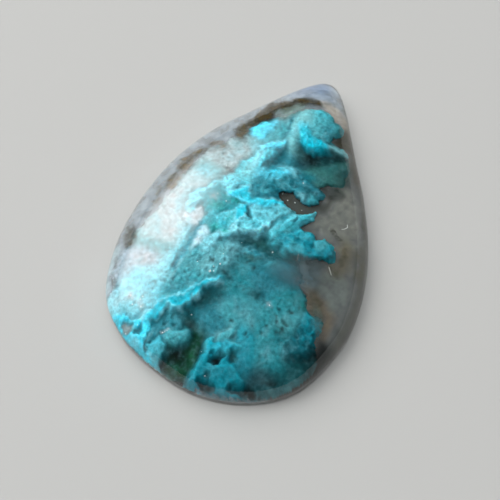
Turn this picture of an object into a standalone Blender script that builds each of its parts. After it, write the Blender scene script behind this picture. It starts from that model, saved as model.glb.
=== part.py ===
"""Pear-shaped chrysocolla cabochon: turquoise growth sealed in clear chalcedony.

The polished stone is parted in two at the top of its girdle, so that the growth has a pocket to
lie in.  Three solids come out: the domed upper half, the flat-backed lower half and the growth.

Frame: +Z up, flat back on z = 0, +Y towards the tip of the pear, origin at the middle of the back.
The driving dimensions below are in millimetres; build_object() turns them into metres.
"""

from collections import namedtuple

import bpy
import bmesh
import numpy as np
from mathutils import Vector, noise
from mathutils.geometry import delaunay_2d_cdt

MM = 0.001

# ---------------------------------------------------------------- the cut stone
STONE_HEIGHT = 6.2          # back to the crest of the dome
GIRDLE_TOP = 1.4            # where the upright girdle turns into the dome
BACK_BEVEL = 0.3            # small bevel round the back
CREST = (0.2, -4.5)         # plan position of the crest, over the wide end
DOME_ROUNDNESS = 2.2        # exponents of the dome's profile
DOME_SHOULDER = 0.56
GAP = 0.3                   # clearance between two solids
STONE_EDGE = (              # the hand-cut outline, anticlockwise from the tip
    (0.5, 16.05), (-0.8, 15.5), (-2.7, 13.6), (-5.3, 10.4), (-7.9, 6.9), (-9.8, 2.7),
    (-10.75, -2.0), (-10.8, -6.6), (-9.6, -11.0), (-6.9, -13.7), (-3.4, -15.2), (1.0, -15.9),
    (5.4, -14.9), (8.9, -12.2), (10.8, -7.6), (11.0, -3.4), (9.9, 1.3), (7.8, 5.8),
    (5.3, 9.9), (3.2, 13.4), (1.7, 15.4),
)
EDGE_STEPS = 3              # mesh columns for each outline point
DOME_RINGS = (0.995, 0.975, 0.94, 0.885, 0.81, 0.71, 0.58, 0.42, 0.22)

# ---------------------------------------------------------------- the sealed growth
GROWTH_DEPTH = 0.70         # its mean surface, as a share of the dome's height
GROWTH_FLOOR = 1.05         # mean height of its underside
ROOF_WALL = 0.45            # least stone over the pocket
LATTICE = 0.45              # spacing of the growth's upper mesh
FLOOR_LATTICE = 1.5         # and of its underside
EDGE_SPACING = 0.5
LEDGE_SLOPE = 2.6           # how steeply a sheet drops at its edge
LUMP = 0.16                 # height of the botryoidal lumps
LUMP_SIZE = 1.3
POCKET_INSETS = (0.4, 0.7, 1.1, 1.6)                   # rings of the pocket, in from the edge
POCKET_RINGS = (0.76, 0.66, 0.56, 0.46, 0.36, 0.24, 0.12)

GROWTH_EDGE = (             # the ragged outer edge, clockwise from the head by the tip
    (1.3, 12.2), (2.3, 11.7), (3.2, 11.1), (3.1, 9.9), (4.3, 9.2), (5.1, 7.6), (5.1, 5.9),
    (4.5, 4.3), (3.8, 2.7), (2.2, 2.7), (0.9, 2.2), (2.2, 1.3), (3.4, 1.3), (4.2, 2.1),
    (3.9, 0.6), (3.7, -0.2), (4.8, 0.0), (5.3, -0.4), (5.9, 0.1), (7.0, -0.7), (7.0, -1.6),
    (5.4, -2.0), (3.8, -2.9), (4.6, -4.0), (5.9, -4.9), (7.2, -6.3), (8.5, -7.2), (9.1, -8.8),
    (8.8, -10.3), (8.0, -11.6), (6.8, -12.9), (5.2, -13.7), (3.2, -14.3), (1.0, -14.7),
    (-1.4, -14.5), (-3.4, -13.9), (-5.4, -13.1), (-7.0, -12.0), (-8.2, -10.6), (-9.1, -8.6),
    (-9.4, -6.4), (-9.2, -4.0), (-8.8, -1.8), (-8.2, 0.4), (-7.6, 2.4), (-6.6, 4.4), (-5.2, 6.2),
    (-4.2, 7.8), (-3.3, 8.9), (-1.6, 10.4), (-0.2, 11.5),
)

Sheet = namedtuple("Sheet", "name lift tilt edge")
SHEETS = (                  # overlapping sheets: lift over the mean surface, slope, outline
    Sheet("milky flank", -0.05, (0.02, 0.0), (
        (-3.1, 6.4), (-5.0, 6.4), (-7.1, 3.4), (-8.2, -0.5), (-9.2, -5.0), (-9.1, -8.6),
        (-7.9, -11.9), (-5.2, -12.0), (-4.5, -8.0), (-4.1, -3.0), (-3.2, 2.0))),
    Sheet("head", 0.55, (0.03, -0.05), (
        (1.3, 12.2), (3.2, 11.3), (2.9, 9.6), (4.2, 9.1), (2.8, 8.3), (1.4, 7.5), (0.4, 7.9),
        (-0.2, 9.4), (-1.4, 10.3), (0.0, 11.5))),
    Sheet("left lobe of the head", 0.45, (0.0, -0.04), (
        (-2.0, 9.3), (-3.6, 8.3), (-3.7, 7.2), (-2.7, 6.6), (-2.2, 8.0))),
    Sheet("neck", 0.25, (0.05, -0.04), (
        (-0.6, 10.0), (-2.3, 9.4), (-2.5, 6.4), (-3.1, 4.4), (-3.3, 2.2), (-1.4, 1.6), (-1.3, 4.4),
        (-0.9, 6.0), (-0.3, 7.3))),
    Sheet("shoulder ledge", 0.45, (-0.06, -0.03), (
        (-1.5, 3.8), (0.4, 4.5), (1.6, 4.7), (4.3, 4.1), (4.0, 2.8), (2.8, 2.5), (1.0, 2.5),
        (-0.3, 2.1), (-1.1, 1.2))),
    Sheet("upper ridge", 0.75, (0.0, 0.05), (
        (-3.7, 2.3), (-2.0, 1.9), (-1.0, 1.2), (1.5, 1.6), (1.6, 1.1), (-0.5, 0.4), (-2.4, 0.6),
        (-3.4, 0.6), (-4.2, 1.5))),
    Sheet("left tongue", 0.45, (-0.04, 0.0), (
        (-4.2, 1.5), (-5.6, 0.0), (-5.8, -1.6), (-5.2, -2.0), (-4.2, -1.5), (-1.6, -1.0),
        (-0.9, 0.4), (-3.0, 0.8))),
    Sheet("crinkled middle", 0.60, (0.05, -0.08), (
        (-1.0, 0.6), (1.2, 1.2), (2.2, 0.6), (1.6, -0.8), (0.3, -1.8), (-0.9, -2.8), (-2.2, -3.5),
        (-2.4, -4.9), (-3.7, -5.1), (-4.0, -2.2), (-2.2, -1.0))),
    Sheet("first finger", 0.50, (0.05, 0.0), (
        (1.6, -0.8), (2.4, 0.5), (3.5, 1.3), (4.1, 2.1), (4.3, 1.4), (3.5, 0.0), (2.4, -1.2))),
    Sheet("second finger", 0.30, (0.0, 0.0), (
        (1.9, -1.4), (3.6, -0.4), (4.8, 0.1), (5.3, -0.5), (5.9, 0.1), (7.0, -0.7), (7.0, -1.6),
        (5.4, -2.0), (4.0, -2.5), (2.4, -2.0))),
    Sheet("granular middle", -0.30, (0.0, 0.02), (
        (-2.2, -3.4), (2.6, -3.4), (4.8, -4.1), (7.2, -6.3), (8.5, -7.2), (8.2, -9.2), (6.6, -10.6),
        (6.0, -12.0), (3.4, -12.6), (0.6, -11.5), (-1.0, -10.6), (-2.6, -8.0), (-3.4, -5.0))),
    Sheet("crinkled ledge", 0.50, (0.07, -0.06), (
        (-0.5, -6.8), (-1.7, -8.6), (-2.4, -9.7), (-3.5, -10.4), (-4.6, -11.8), (-5.8, -12.0),
        (-6.4, -9.6), (-4.6, -5.4), (-3.0, -4.6), (-1.4, -5.2))),
    Sheet("corner block", 0.35, (0.04, 0.02), (
        (-7.6, -11.6), (-6.2, -12.2), (-4.8, -11.7), (-4.1, -13.0), (-4.0, -14.0), (-6.4, -13.0))),
    Sheet("small lump", 0.05, (0.0, 0.0), (
        (-3.9, -11.2), (-2.4, -11.0), (-1.1, -12.0), (-1.6, -12.8), (-2.7, -14.2), (-4.0, -13.8))),
    Sheet("foot block", 0.20, (-0.02, -0.03), (
        (0.6, -11.5), (1.9, -10.3), (3.2, -11.3), (3.4, -12.8), (4.6, -13.7), (2.8, -14.4),
        (0.3, -14.7), (0.6, -13.2))),
)

Pit = namedtuple("Pit", "name sink edge")
PITS = (                    # hollows below the mean surface
    Pit("under the head", 1.0, ((0.9, 7.3), (2.6, 7.7), (4.2, 8.2), (4.0, 6.6), (2.2, 5.6), (1.0, 5.8))),
    Pit("under the middle", 0.9, ((-0.2, -2.6), (1.4, -1.6), (2.4, -2.4), (4.6, -2.9), (2.6, -3.4),
                                  (0.2, -3.4))),
    Pit("green hollow", 1.1, ((-1.6, -10.6), (0.4, -11.6), (0.5, -13.2), (0.2, -14.4), (-2.4, -14.0),
                              (-1.2, -12.2))),
    Pit("corner hole", 0.6, ((-6.4, -12.7), (-5.2, -12.7), (-5.6, -13.2))),
    Pit("foot hole", 0.8, ((2.3, -12.5), (1.5, -13.3), (1.5, -12.8))),
)
BED_SINK = 0.75             # the bed between the sheets lies this far under the mean surface

Finish = namedtuple("Finish", "colour roughness alpha")
CHALCEDONY = Finish((0.62, 0.66, 0.66), 0.04, 0.35)
CHRYSOCOLLA = Finish((0.09, 0.46, 0.52), 0.45, 1.0)


def closed_spline(points, steps):
    """Return a smooth closed curve through the points, with `steps` samples for each."""
    points = np.asarray(points, float)
    before, after, beyond = np.roll(points, 1, 0), np.roll(points, -1, 0), np.roll(points, -2, 0)
    samples = []
    for t in np.arange(steps) / steps:
        samples.append(0.5 * (2 * points + (after - before) * t
                              + (2 * before - 5 * points + 4 * after - beyond) * t ** 2
                              + (3 * points - before - 3 * after + beyond) * t ** 3))
    return np.stack(samples, axis=1).reshape(-1, 2)


def centred_shift(curve):
    """Return the plan shift that puts the middle of the curve's box on the origin."""
    return -(curve.min(axis=0) + curve.max(axis=0)) / 2


SHIFT = centred_shift(closed_spline(STONE_EDGE, EDGE_STEPS))
EDGE_CURVE = closed_spline(STONE_EDGE, EDGE_STEPS) + SHIFT
CENTRE = np.array(CREST) + SHIFT


def polar(points):
    """Return distance and bearing of plan points from the crest."""
    away = np.asarray(points, float) - CENTRE
    return np.hypot(away[:, 0], away[:, 1]), np.arctan2(away[:, 1], away[:, 0])


EDGE_REACH, EDGE_BEARING = polar(EDGE_CURVE)
BY_BEARING = np.argsort(EDGE_BEARING)


def edge_reach(bearing):
    """Return the distance from the crest to the stone's edge at each bearing."""
    return np.interp(bearing, EDGE_BEARING[BY_BEARING], EDGE_REACH[BY_BEARING], period=2 * np.pi)


def dome(points, margin=0.0):
    """Return the dome's height over plan points, read `margin` further out than they lie."""
    reach, bearing = polar(points)
    share = np.clip((reach + margin) / edge_reach(bearing), 0.0, 1.0)
    return GIRDLE_TOP + (STONE_HEIGHT - GIRDLE_TOP) * (1 - share ** DOME_ROUNDNESS) ** DOME_SHOULDER


def depth_inside(outline, points):
    """Return how far each point lies inside a closed outline, negative outside it."""
    nearest = np.full(len(points), np.inf)
    inside = np.zeros(len(points), bool)
    for (ax, ay), (bx, by) in zip(outline, np.roll(outline, -1, 0)):
        run = np.array((bx - ax, by - ay))
        away = points - (ax, ay)
        along = np.clip(away @ run / max(run @ run, 1e-12), 0, 1)
        nearest = np.minimum(nearest, np.hypot(*(away - along[:, None] * run).T))
        crosses = (ay > points[:, 1]) != (by > points[:, 1])
        if by != ay:
            inside ^= crosses & (points[:, 0] < ax + (points[:, 1] - ay) * (bx - ax) / (by - ay))
    return np.where(inside, nearest, -nearest)


def lumps(points, seed, size, height):
    """Return a rounded, seeded unevenness at plan points."""
    return np.array([height * noise.noise(Vector((x / size, y / size, seed))) for x, y in points])


def growth_top(points):
    """Return the height of the growth's upper side: sheets over a bed, with hollows."""
    mean = GROWTH_DEPTH * dome(points)
    height = mean - BED_SINK
    for sheet in SHEETS:
        outline = closed_spline(sheet.edge, 4) + SHIFT
        lean = (points - outline.mean(axis=0)) @ np.array(sheet.tilt)
        outside = np.maximum(-depth_inside(outline, points), 0)
        height = np.maximum(height, mean + sheet.lift + lean - LEDGE_SLOPE * outside)
    for pit in PITS:
        outline = closed_spline(pit.edge, 4) + SHIFT
        outside = np.maximum(-depth_inside(outline, points), 0)
        height = np.minimum(height, mean - pit.sink + LEDGE_SLOPE * outside)
    height = height + lumps(points, 1.7, LUMP_SIZE, LUMP) + lumps(points, 9.3, LUMP_SIZE / 2, LUMP / 2)
    ceiling = dome(points, margin=0.5) - ROOF_WALL - 1.5 * GAP
    return np.clip(height, GROWTH_FLOOR + 0.35, np.maximum(ceiling, GROWTH_FLOOR + 0.35))


def growth_bottom(points):
    """Return the height of the growth's underside."""
    return GROWTH_FLOOR + lumps(points, 4.1, 2.4, 0.12)


def triangles_inside(edge, spacing):
    """Return plan points and triangles that fill a closed edge; the edge's points come first."""
    low, high = edge.min(axis=0), edge.max(axis=0)
    rows = np.arange(low[1], high[1], spacing * np.sqrt(3) / 2)
    lattice = np.array([(x + spacing / 2 * (row % 2), y)
                        for row, y in enumerate(rows) for x in np.arange(low[0], high[0], spacing)])
    lattice = lattice[depth_inside(edge, lattice) > 0.6 * spacing]
    points = np.vstack([edge, lattice])
    border = [(i, (i + 1) % len(edge)) for i in range(len(edge))]
    flat, _, faces, origins, _, _ = delaunay_2d_cdt([Vector(p) for p in points], border, [], 0, 1e-6)
    source = [came_from[0] for came_from in origins]
    middles = np.array([sum((np.array(flat[i]) for i in face), np.zeros(2)) / 3 for face in faces])
    keep = depth_inside(edge, middles) > 0
    return points, [tuple(source[i] for i in face) for face, kept in zip(faces, keep) if kept]


def even_edge(outline, spacing):
    """Return a closed outline resampled at an even spacing."""
    loop = np.vstack([outline, outline[:1]])
    run = np.concatenate([[0], np.cumsum(np.hypot(*np.diff(loop, axis=0).T))])
    at = np.linspace(0, run[-1], int(run[-1] / spacing), endpoint=False)
    return np.stack([np.interp(at, run, loop[:, 0]), np.interp(at, run, loop[:, 1])], axis=1)


def make_growth():
    """Return the vertices and faces of the growth: relief above, gentle lumps below."""
    edge = even_edge(closed_spline(GROWTH_EDGE, 6) + SHIFT, EDGE_SPACING)
    upper, upper_faces = triangles_inside(edge, LATTICE)
    lower, lower_faces = triangles_inside(edge, FLOOR_LATTICE)
    base = len(upper)
    vertices = [(x, y, z) for (x, y), z in zip(upper, growth_top(upper))]
    vertices += [(x, y, z) for (x, y), z in zip(lower, growth_bottom(lower))]
    faces = list(upper_faces)
    faces += [tuple(base + i for i in reversed(face)) for face in lower_faces]
    count = len(edge)
    for i in range(count):
        j = (i + 1) % count
        faces.append((i, j, base + j, base + i))
    return vertices, faces, upper, lower


def ring(share):
    """Return the stone's edge drawn in towards the crest to a share of its reach."""
    return CENTRE + share * (EDGE_CURVE - CENTRE)


def inset_ring(inset):
    """Return the stone's edge moved in towards the crest by a distance."""
    reach = EDGE_REACH[:, None]
    return CENTRE + (reach - inset * edge_slant()) / reach * (EDGE_CURVE - CENTRE)


def edge_slant():
    """Return how much further the way to the crest is than the square way in from the edge."""
    along = np.roll(EDGE_CURVE, -1, 0) - np.roll(EDGE_CURVE, 1, 0)
    along /= np.linalg.norm(along, axis=1)[:, None]
    inward = (CENTRE - EDGE_CURVE) / EDGE_REACH[:, None]
    square = np.abs(along[:, 0] * inward[:, 1] - along[:, 1] * inward[:, 0])
    return 1 / np.maximum(square, 0.3)[:, None]


def pocket_rings():
    """Return the rings of the pocket's mesh, close together near the stone's edge."""
    return [inset_ring(inset) for inset in POCKET_INSETS] + [ring(share) for share in POCKET_RINGS]


def pocket_heights(rings, body, heights, flat, pick, clearance):
    """Return for each ring vertex the parting plane, or the pocket's wall beside the growth."""
    flat_rings = []
    count = len(EDGE_CURVE)
    for number, points in enumerate(rings):
        inner = rings[min(number + 1, len(rings) - 1)]
        outer = rings[max(number - 1, 0)]
        level = np.full(count, flat)
        for column in range(count):
            near = [row[(column + step) % count] for row in (inner, points, outer) for step in (-1, 0, 1)]
            reach = max(np.hypot(*(np.array(near) - points[column]).T).max(), 0.6)
            close = np.hypot(*(body - points[column]).T) < 0.62 * reach + GAP
            if number > 0 and close.any():
                level[column] = pick(heights[close]) + clearance
        flat_rings.append(level)
    return flat_rings


def loft(rings, levels):
    """Return vertices and quad faces of stacked rings, outermost first, closed by a middle point."""
    count = len(rings[0])
    vertices = [(x, y, z) for points, level in zip(rings, levels) for (x, y), z in zip(points, level)]
    faces = []
    for row in range(len(rings) - 1):
        for i in range(count):
            j = (i + 1) % count
            here, there = row * count, (row + 1) * count
            faces.append((here + i, here + j, there + j, there + i))
    last = (len(rings) - 1) * count
    vertices.append((CENTRE[0], CENTRE[1], float(np.mean(levels[-1]))))
    faces += [(last + i, last + (i + 1) % count, len(vertices) - 1) for i in range(count)]
    return vertices, faces


def join_shells(upper, lower):
    """Return one closed mesh from two shells whose first rings coincide; the lower is flipped."""
    vertices, faces = upper
    more, lower_faces = lower
    count = len(EDGE_CURVE)
    place = {i: i for i in range(count)}
    joined = list(vertices)
    for i in range(count, len(more)):
        place[i] = len(joined)
        joined.append(more[i])
    return joined, list(faces) + [tuple(place[i] for i in reversed(face)) for face in lower_faces]


def make_crown(upper, heights):
    """Return the domed upper half, hollowed from below round the growth."""
    girdle = np.full(len(EDGE_CURVE), GIRDLE_TOP)
    outer_rings = [EDGE_CURVE] + [ring(share) for share in DOME_RINGS]
    outer = loft(outer_rings, [girdle] + [dome(points) for points in outer_rings[1:]])
    outer[0][-1] = (CENTRE[0], CENTRE[1], STONE_HEIGHT)
    rings = pocket_rings()
    levels = pocket_heights(rings, upper, heights, GIRDLE_TOP, np.max, GAP)
    roof = [np.minimum(level, np.maximum(dome(points, margin=0.35) - ROOF_WALL, GIRDLE_TOP))
            for points, level in zip(rings, levels)]
    return join_shells(outer, loft([EDGE_CURVE] + rings, [girdle] + roof))


def make_base(lower, heights):
    """Return the flat-backed lower half, with a shallow pocket in its upper side."""
    count = len(EDGE_CURVE)
    parting = GIRDLE_TOP - GAP
    rings = pocket_rings()
    levels = pocket_heights(rings, lower, heights, parting, np.min, -GAP)
    top = loft([EDGE_CURVE] + rings, [np.full(count, parting)] + levels)
    back = inset_ring(BACK_BEVEL)
    sides = [EDGE_CURVE, EDGE_CURVE, back]
    return join_shells(top, loft(sides, [np.full(count, z) for z in (parting, BACK_BEVEL, 0.0)]))


def make_material(name, finish):
    """Return a Principled material with a plain colour, roughness and opacity."""
    material = bpy.data.materials.new(name)
    material.use_nodes = True
    shader = material.node_tree.nodes["Principled BSDF"]
    shader.inputs["Base Color"].default_value = (*finish.colour, 1.0)
    shader.inputs["Roughness"].default_value = finish.roughness
    shader.inputs["Alpha"].default_value = finish.alpha
    return material


def build_object(name, vertices, faces, material):
    """Make one named object, in metres, from vertices in millimetres."""
    mesh = bpy.data.meshes.new(name)
    mesh.from_pydata([Vector(vertex) * MM for vertex in vertices], [], faces)
    shape = bmesh.new()
    shape.from_mesh(mesh)
    bmesh.ops.recalc_face_normals(shape, faces=shape.faces)
    bmesh.ops.triangulate(shape, faces=[face for face in shape.faces if len(face.verts) > 3])
    shape.to_mesh(mesh)
    shape.free()
    mesh.materials.append(material)
    built = bpy.data.objects.new(name, mesh)
    bpy.context.scene.collection.objects.link(built)
    return built


def main():
    """Clear the scene and make the three solids."""
    for old in list(bpy.data.objects):
        bpy.data.objects.remove(old, do_unlink=True)
    chalcedony = make_material("clear chalcedony", CHALCEDONY)
    chrysocolla = make_material("turquoise chrysocolla", CHRYSOCOLLA)
    vertices, faces, upper, lower = make_growth()
    heights = np.array([z for _, _, z in vertices])
    build_object("chrysocolla_growth", vertices, faces, chrysocolla)
    build_object("clear_crown", *make_crown(upper, heights[:len(upper)]), chalcedony)
    build_object("clear_base", *make_base(lower, heights[len(upper):]), chalcedony)


main()
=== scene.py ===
"""Looks of the pear-shaped chrysocolla cabochon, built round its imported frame.

Sizes are in millimetres, in the stone's own frame: +Y towards the tip, +Z up, flat back on z = 0.
Outlines, paths and places are pairs in tenths of a millimetre, drawn on the face of the stone.
The mesh makers turn millimetres into metres.
"""

import logging
import math
from dataclasses import dataclass, field
from enum import Enum
from typing import Callable, ClassVar, Sequence

import bpy
import numpy as np
from mathutils import Matrix, Vector


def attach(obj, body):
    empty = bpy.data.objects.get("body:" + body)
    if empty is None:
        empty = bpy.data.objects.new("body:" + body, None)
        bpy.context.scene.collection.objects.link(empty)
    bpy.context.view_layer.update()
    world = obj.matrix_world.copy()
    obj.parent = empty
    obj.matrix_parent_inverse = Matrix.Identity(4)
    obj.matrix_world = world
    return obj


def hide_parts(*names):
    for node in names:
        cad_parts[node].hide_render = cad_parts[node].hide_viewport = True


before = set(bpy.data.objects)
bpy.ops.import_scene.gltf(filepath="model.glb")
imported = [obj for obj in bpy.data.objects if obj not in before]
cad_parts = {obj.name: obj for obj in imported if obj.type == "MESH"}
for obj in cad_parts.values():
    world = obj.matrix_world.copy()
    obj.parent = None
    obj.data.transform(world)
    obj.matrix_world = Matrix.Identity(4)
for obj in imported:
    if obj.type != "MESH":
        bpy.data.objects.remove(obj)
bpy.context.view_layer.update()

MM = 0.001  # metres in a millimetre
TENTHS = 10  # units of the drawing in a millimetre
TINY = 1e-6  # keeps divisions safe
FOLD_MIDDLE = 0.6  # about the mean of the sharp-crested folds
BLUR_REACH = 3  # how far a blur looks, in times its spread
LOG = logging.getLogger("cabochon")

Colour = tuple[float, float, float]
Place = tuple[float, float]
Points = Sequence[Place]
NoiseScale = tuple[float, float, float]
Faces = list[tuple[int, ...]]


def linear(red: int, green: int, blue: int) -> Colour:
    """Turn red, green and blue display levels, 0 to 255, into linear light, 0 to 1."""
    levels = [level / 255 for level in (red, green, blue)]
    return tuple(c / 12.92 if c <= 0.04045 else ((c + 0.055) / 1.055) ** 2.4 for c in levels)


class Pigment(Enum):
    """The growth's colours, from its blackest hollow to its palest rim; the blackest partly stand for painted
    shade in hollows, the palest partly for painted highlight on lips and crests.
    """

    INK = linear(3, 14, 13)
    PITCH = linear(22, 28, 26)
    MOSS = linear(4, 62, 42)
    FERN = linear(26, 96, 64)
    OLIVE = linear(70, 80, 56)
    UMBER = linear(84, 84, 80)
    PINE = linear(14, 64, 66)
    FJORD = linear(22, 84, 90)
    SLATE = linear(46, 92, 104)
    DUSK = linear(40, 72, 80)
    REED = linear(54, 114, 112)
    ABYSS = linear(8, 88, 100)
    DEEP = linear(22, 108, 122)
    MARINE = linear(6, 130, 148)
    SEA = linear(44, 128, 144)
    TEAL = linear(42, 144, 156)
    LAGOON = linear(16, 154, 176)
    HARBOUR = linear(34, 156, 176)
    STREAM = linear(66, 156, 168)
    SILT = linear(72, 164, 176)
    CLOUD = linear(66, 170, 188)
    GREEN = linear(30, 166, 156)
    TURQUOISE = linear(4, 182, 206)
    SHALLOW = linear(74, 188, 204)
    CYAN = linear(50, 196, 220)
    BRIGHT = linear(84, 208, 234)
    MIST = linear(100, 166, 178)
    SAGE = linear(108, 162, 168)
    PALE = linear(116, 176, 186)
    AQUA = linear(108, 200, 216)
    SURF = linear(132, 200, 206)
    POWDER = linear(128, 202, 216)
    FOAM = linear(150, 222, 236)
    ASH = linear(128, 138, 140)
    ROSE = linear(178, 172, 174)
    MILK = linear(170, 187, 192)
    LILAC = linear(158, 170, 182)
    SNOW = linear(196, 205, 212)
    CHALK = linear(186, 216, 228)


P = Pigment  # short, for the long lists below


@dataclass(frozen=True)
class Sheet:
    """One overlapping sheet or lump of the growth.

    Attributes:
        name: what the sheet is called.
        body: its colour.
        lift: height over the growth's mean surface, in mm.
        edge: its outline.
        rim: the colour of the thin pale lip at its standing edge, if it has one; the lip is partly painted
            highlight.
        tilt: slope along X and Y.
        crinkle: how strongly it is folded, 0 to 1.
        grain: how grainy it is, 0 to 1.
        slope: how steeply it drops outside its outline.
        curl: how far its lip stands up, in mm.
    """

    name: str
    body: Pigment
    lift: float
    edge: Points
    rim: Pigment | None = None
    tilt: Place = (0.0, 0.0)
    crinkle: float = 0.4
    grain: float = 0.4
    slope: float = 2.6
    curl: float = 0.05


@dataclass(frozen=True)
class Hollow:
    """One dark hollow between the sheets; its black and dark teal are mostly painted shade.

    Attributes:
        name: what the hollow is called.
        tone: its colour; the green hollow's moss green and the corner hollows' grey and teal are the
            mineral's own.
        sink: depth under the growth's mean surface, in mm.
        edge: its outline.
        feather: how softly its colour ends, in mm.
        slope: how steeply its wall rises.
    """

    name: str
    tone: Pigment
    sink: float
    edge: Points
    feather: float = 0.16
    slope: float = 2.2


@dataclass(frozen=True)
class Stroke:
    """One thin fold or crease; a dark sunken crease is painted shade.

    Attributes:
        tone: its colour.
        width: its width, in mm.
        rise: how far it stands up, in mm.
        path: the line that it follows.
        strength: how much it covers, 0 to 1.
    """

    tone: Pigment
    width: float
    rise: float
    path: Points
    strength: float = 0.8


@dataclass(frozen=True)
class Stain:
    """One soft oval change of colour.

    Attributes:
        tone: its colour.
        strength: how much it covers at its middle, 0 to 1.
        centre: its middle.
        half: its half sizes, in tenths of a mm.
        turn: how far it is turned, in degrees.
    """

    tone: Pigment
    strength: float
    centre: Place
    half: Place
    turn: float = 0.0


@dataclass(frozen=True)
class Pit:
    """One small dark pit, with its radius and depth in mm."""

    place: Place
    radius: float
    depth: float


@dataclass(frozen=True)
class Wisp:
    """One cloud or clump lying in the clear stone.

    Attributes:
        tone: its colour, in linear light.
        cover: how much it hides, 0 to 1.
        feather: width of its soft edge, in mm.
        edge: its outline.
        patchy: how broken up it is, 0 to 1.
    """

    tone: Colour
    cover: float
    feather: float
    edge: Points
    patchy: float = 0.3


@dataclass(frozen=True)
class Glint:
    """One bright quartz grain on the growth, with its size in mm; its near-white colour is partly a painted
    glint.
    """

    place: Place
    size: float


@dataclass(frozen=True)
class Thread:
    """One hair-fine thread: its height as a share of the dome's, and the line that it follows."""

    level: float
    path: Points


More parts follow.
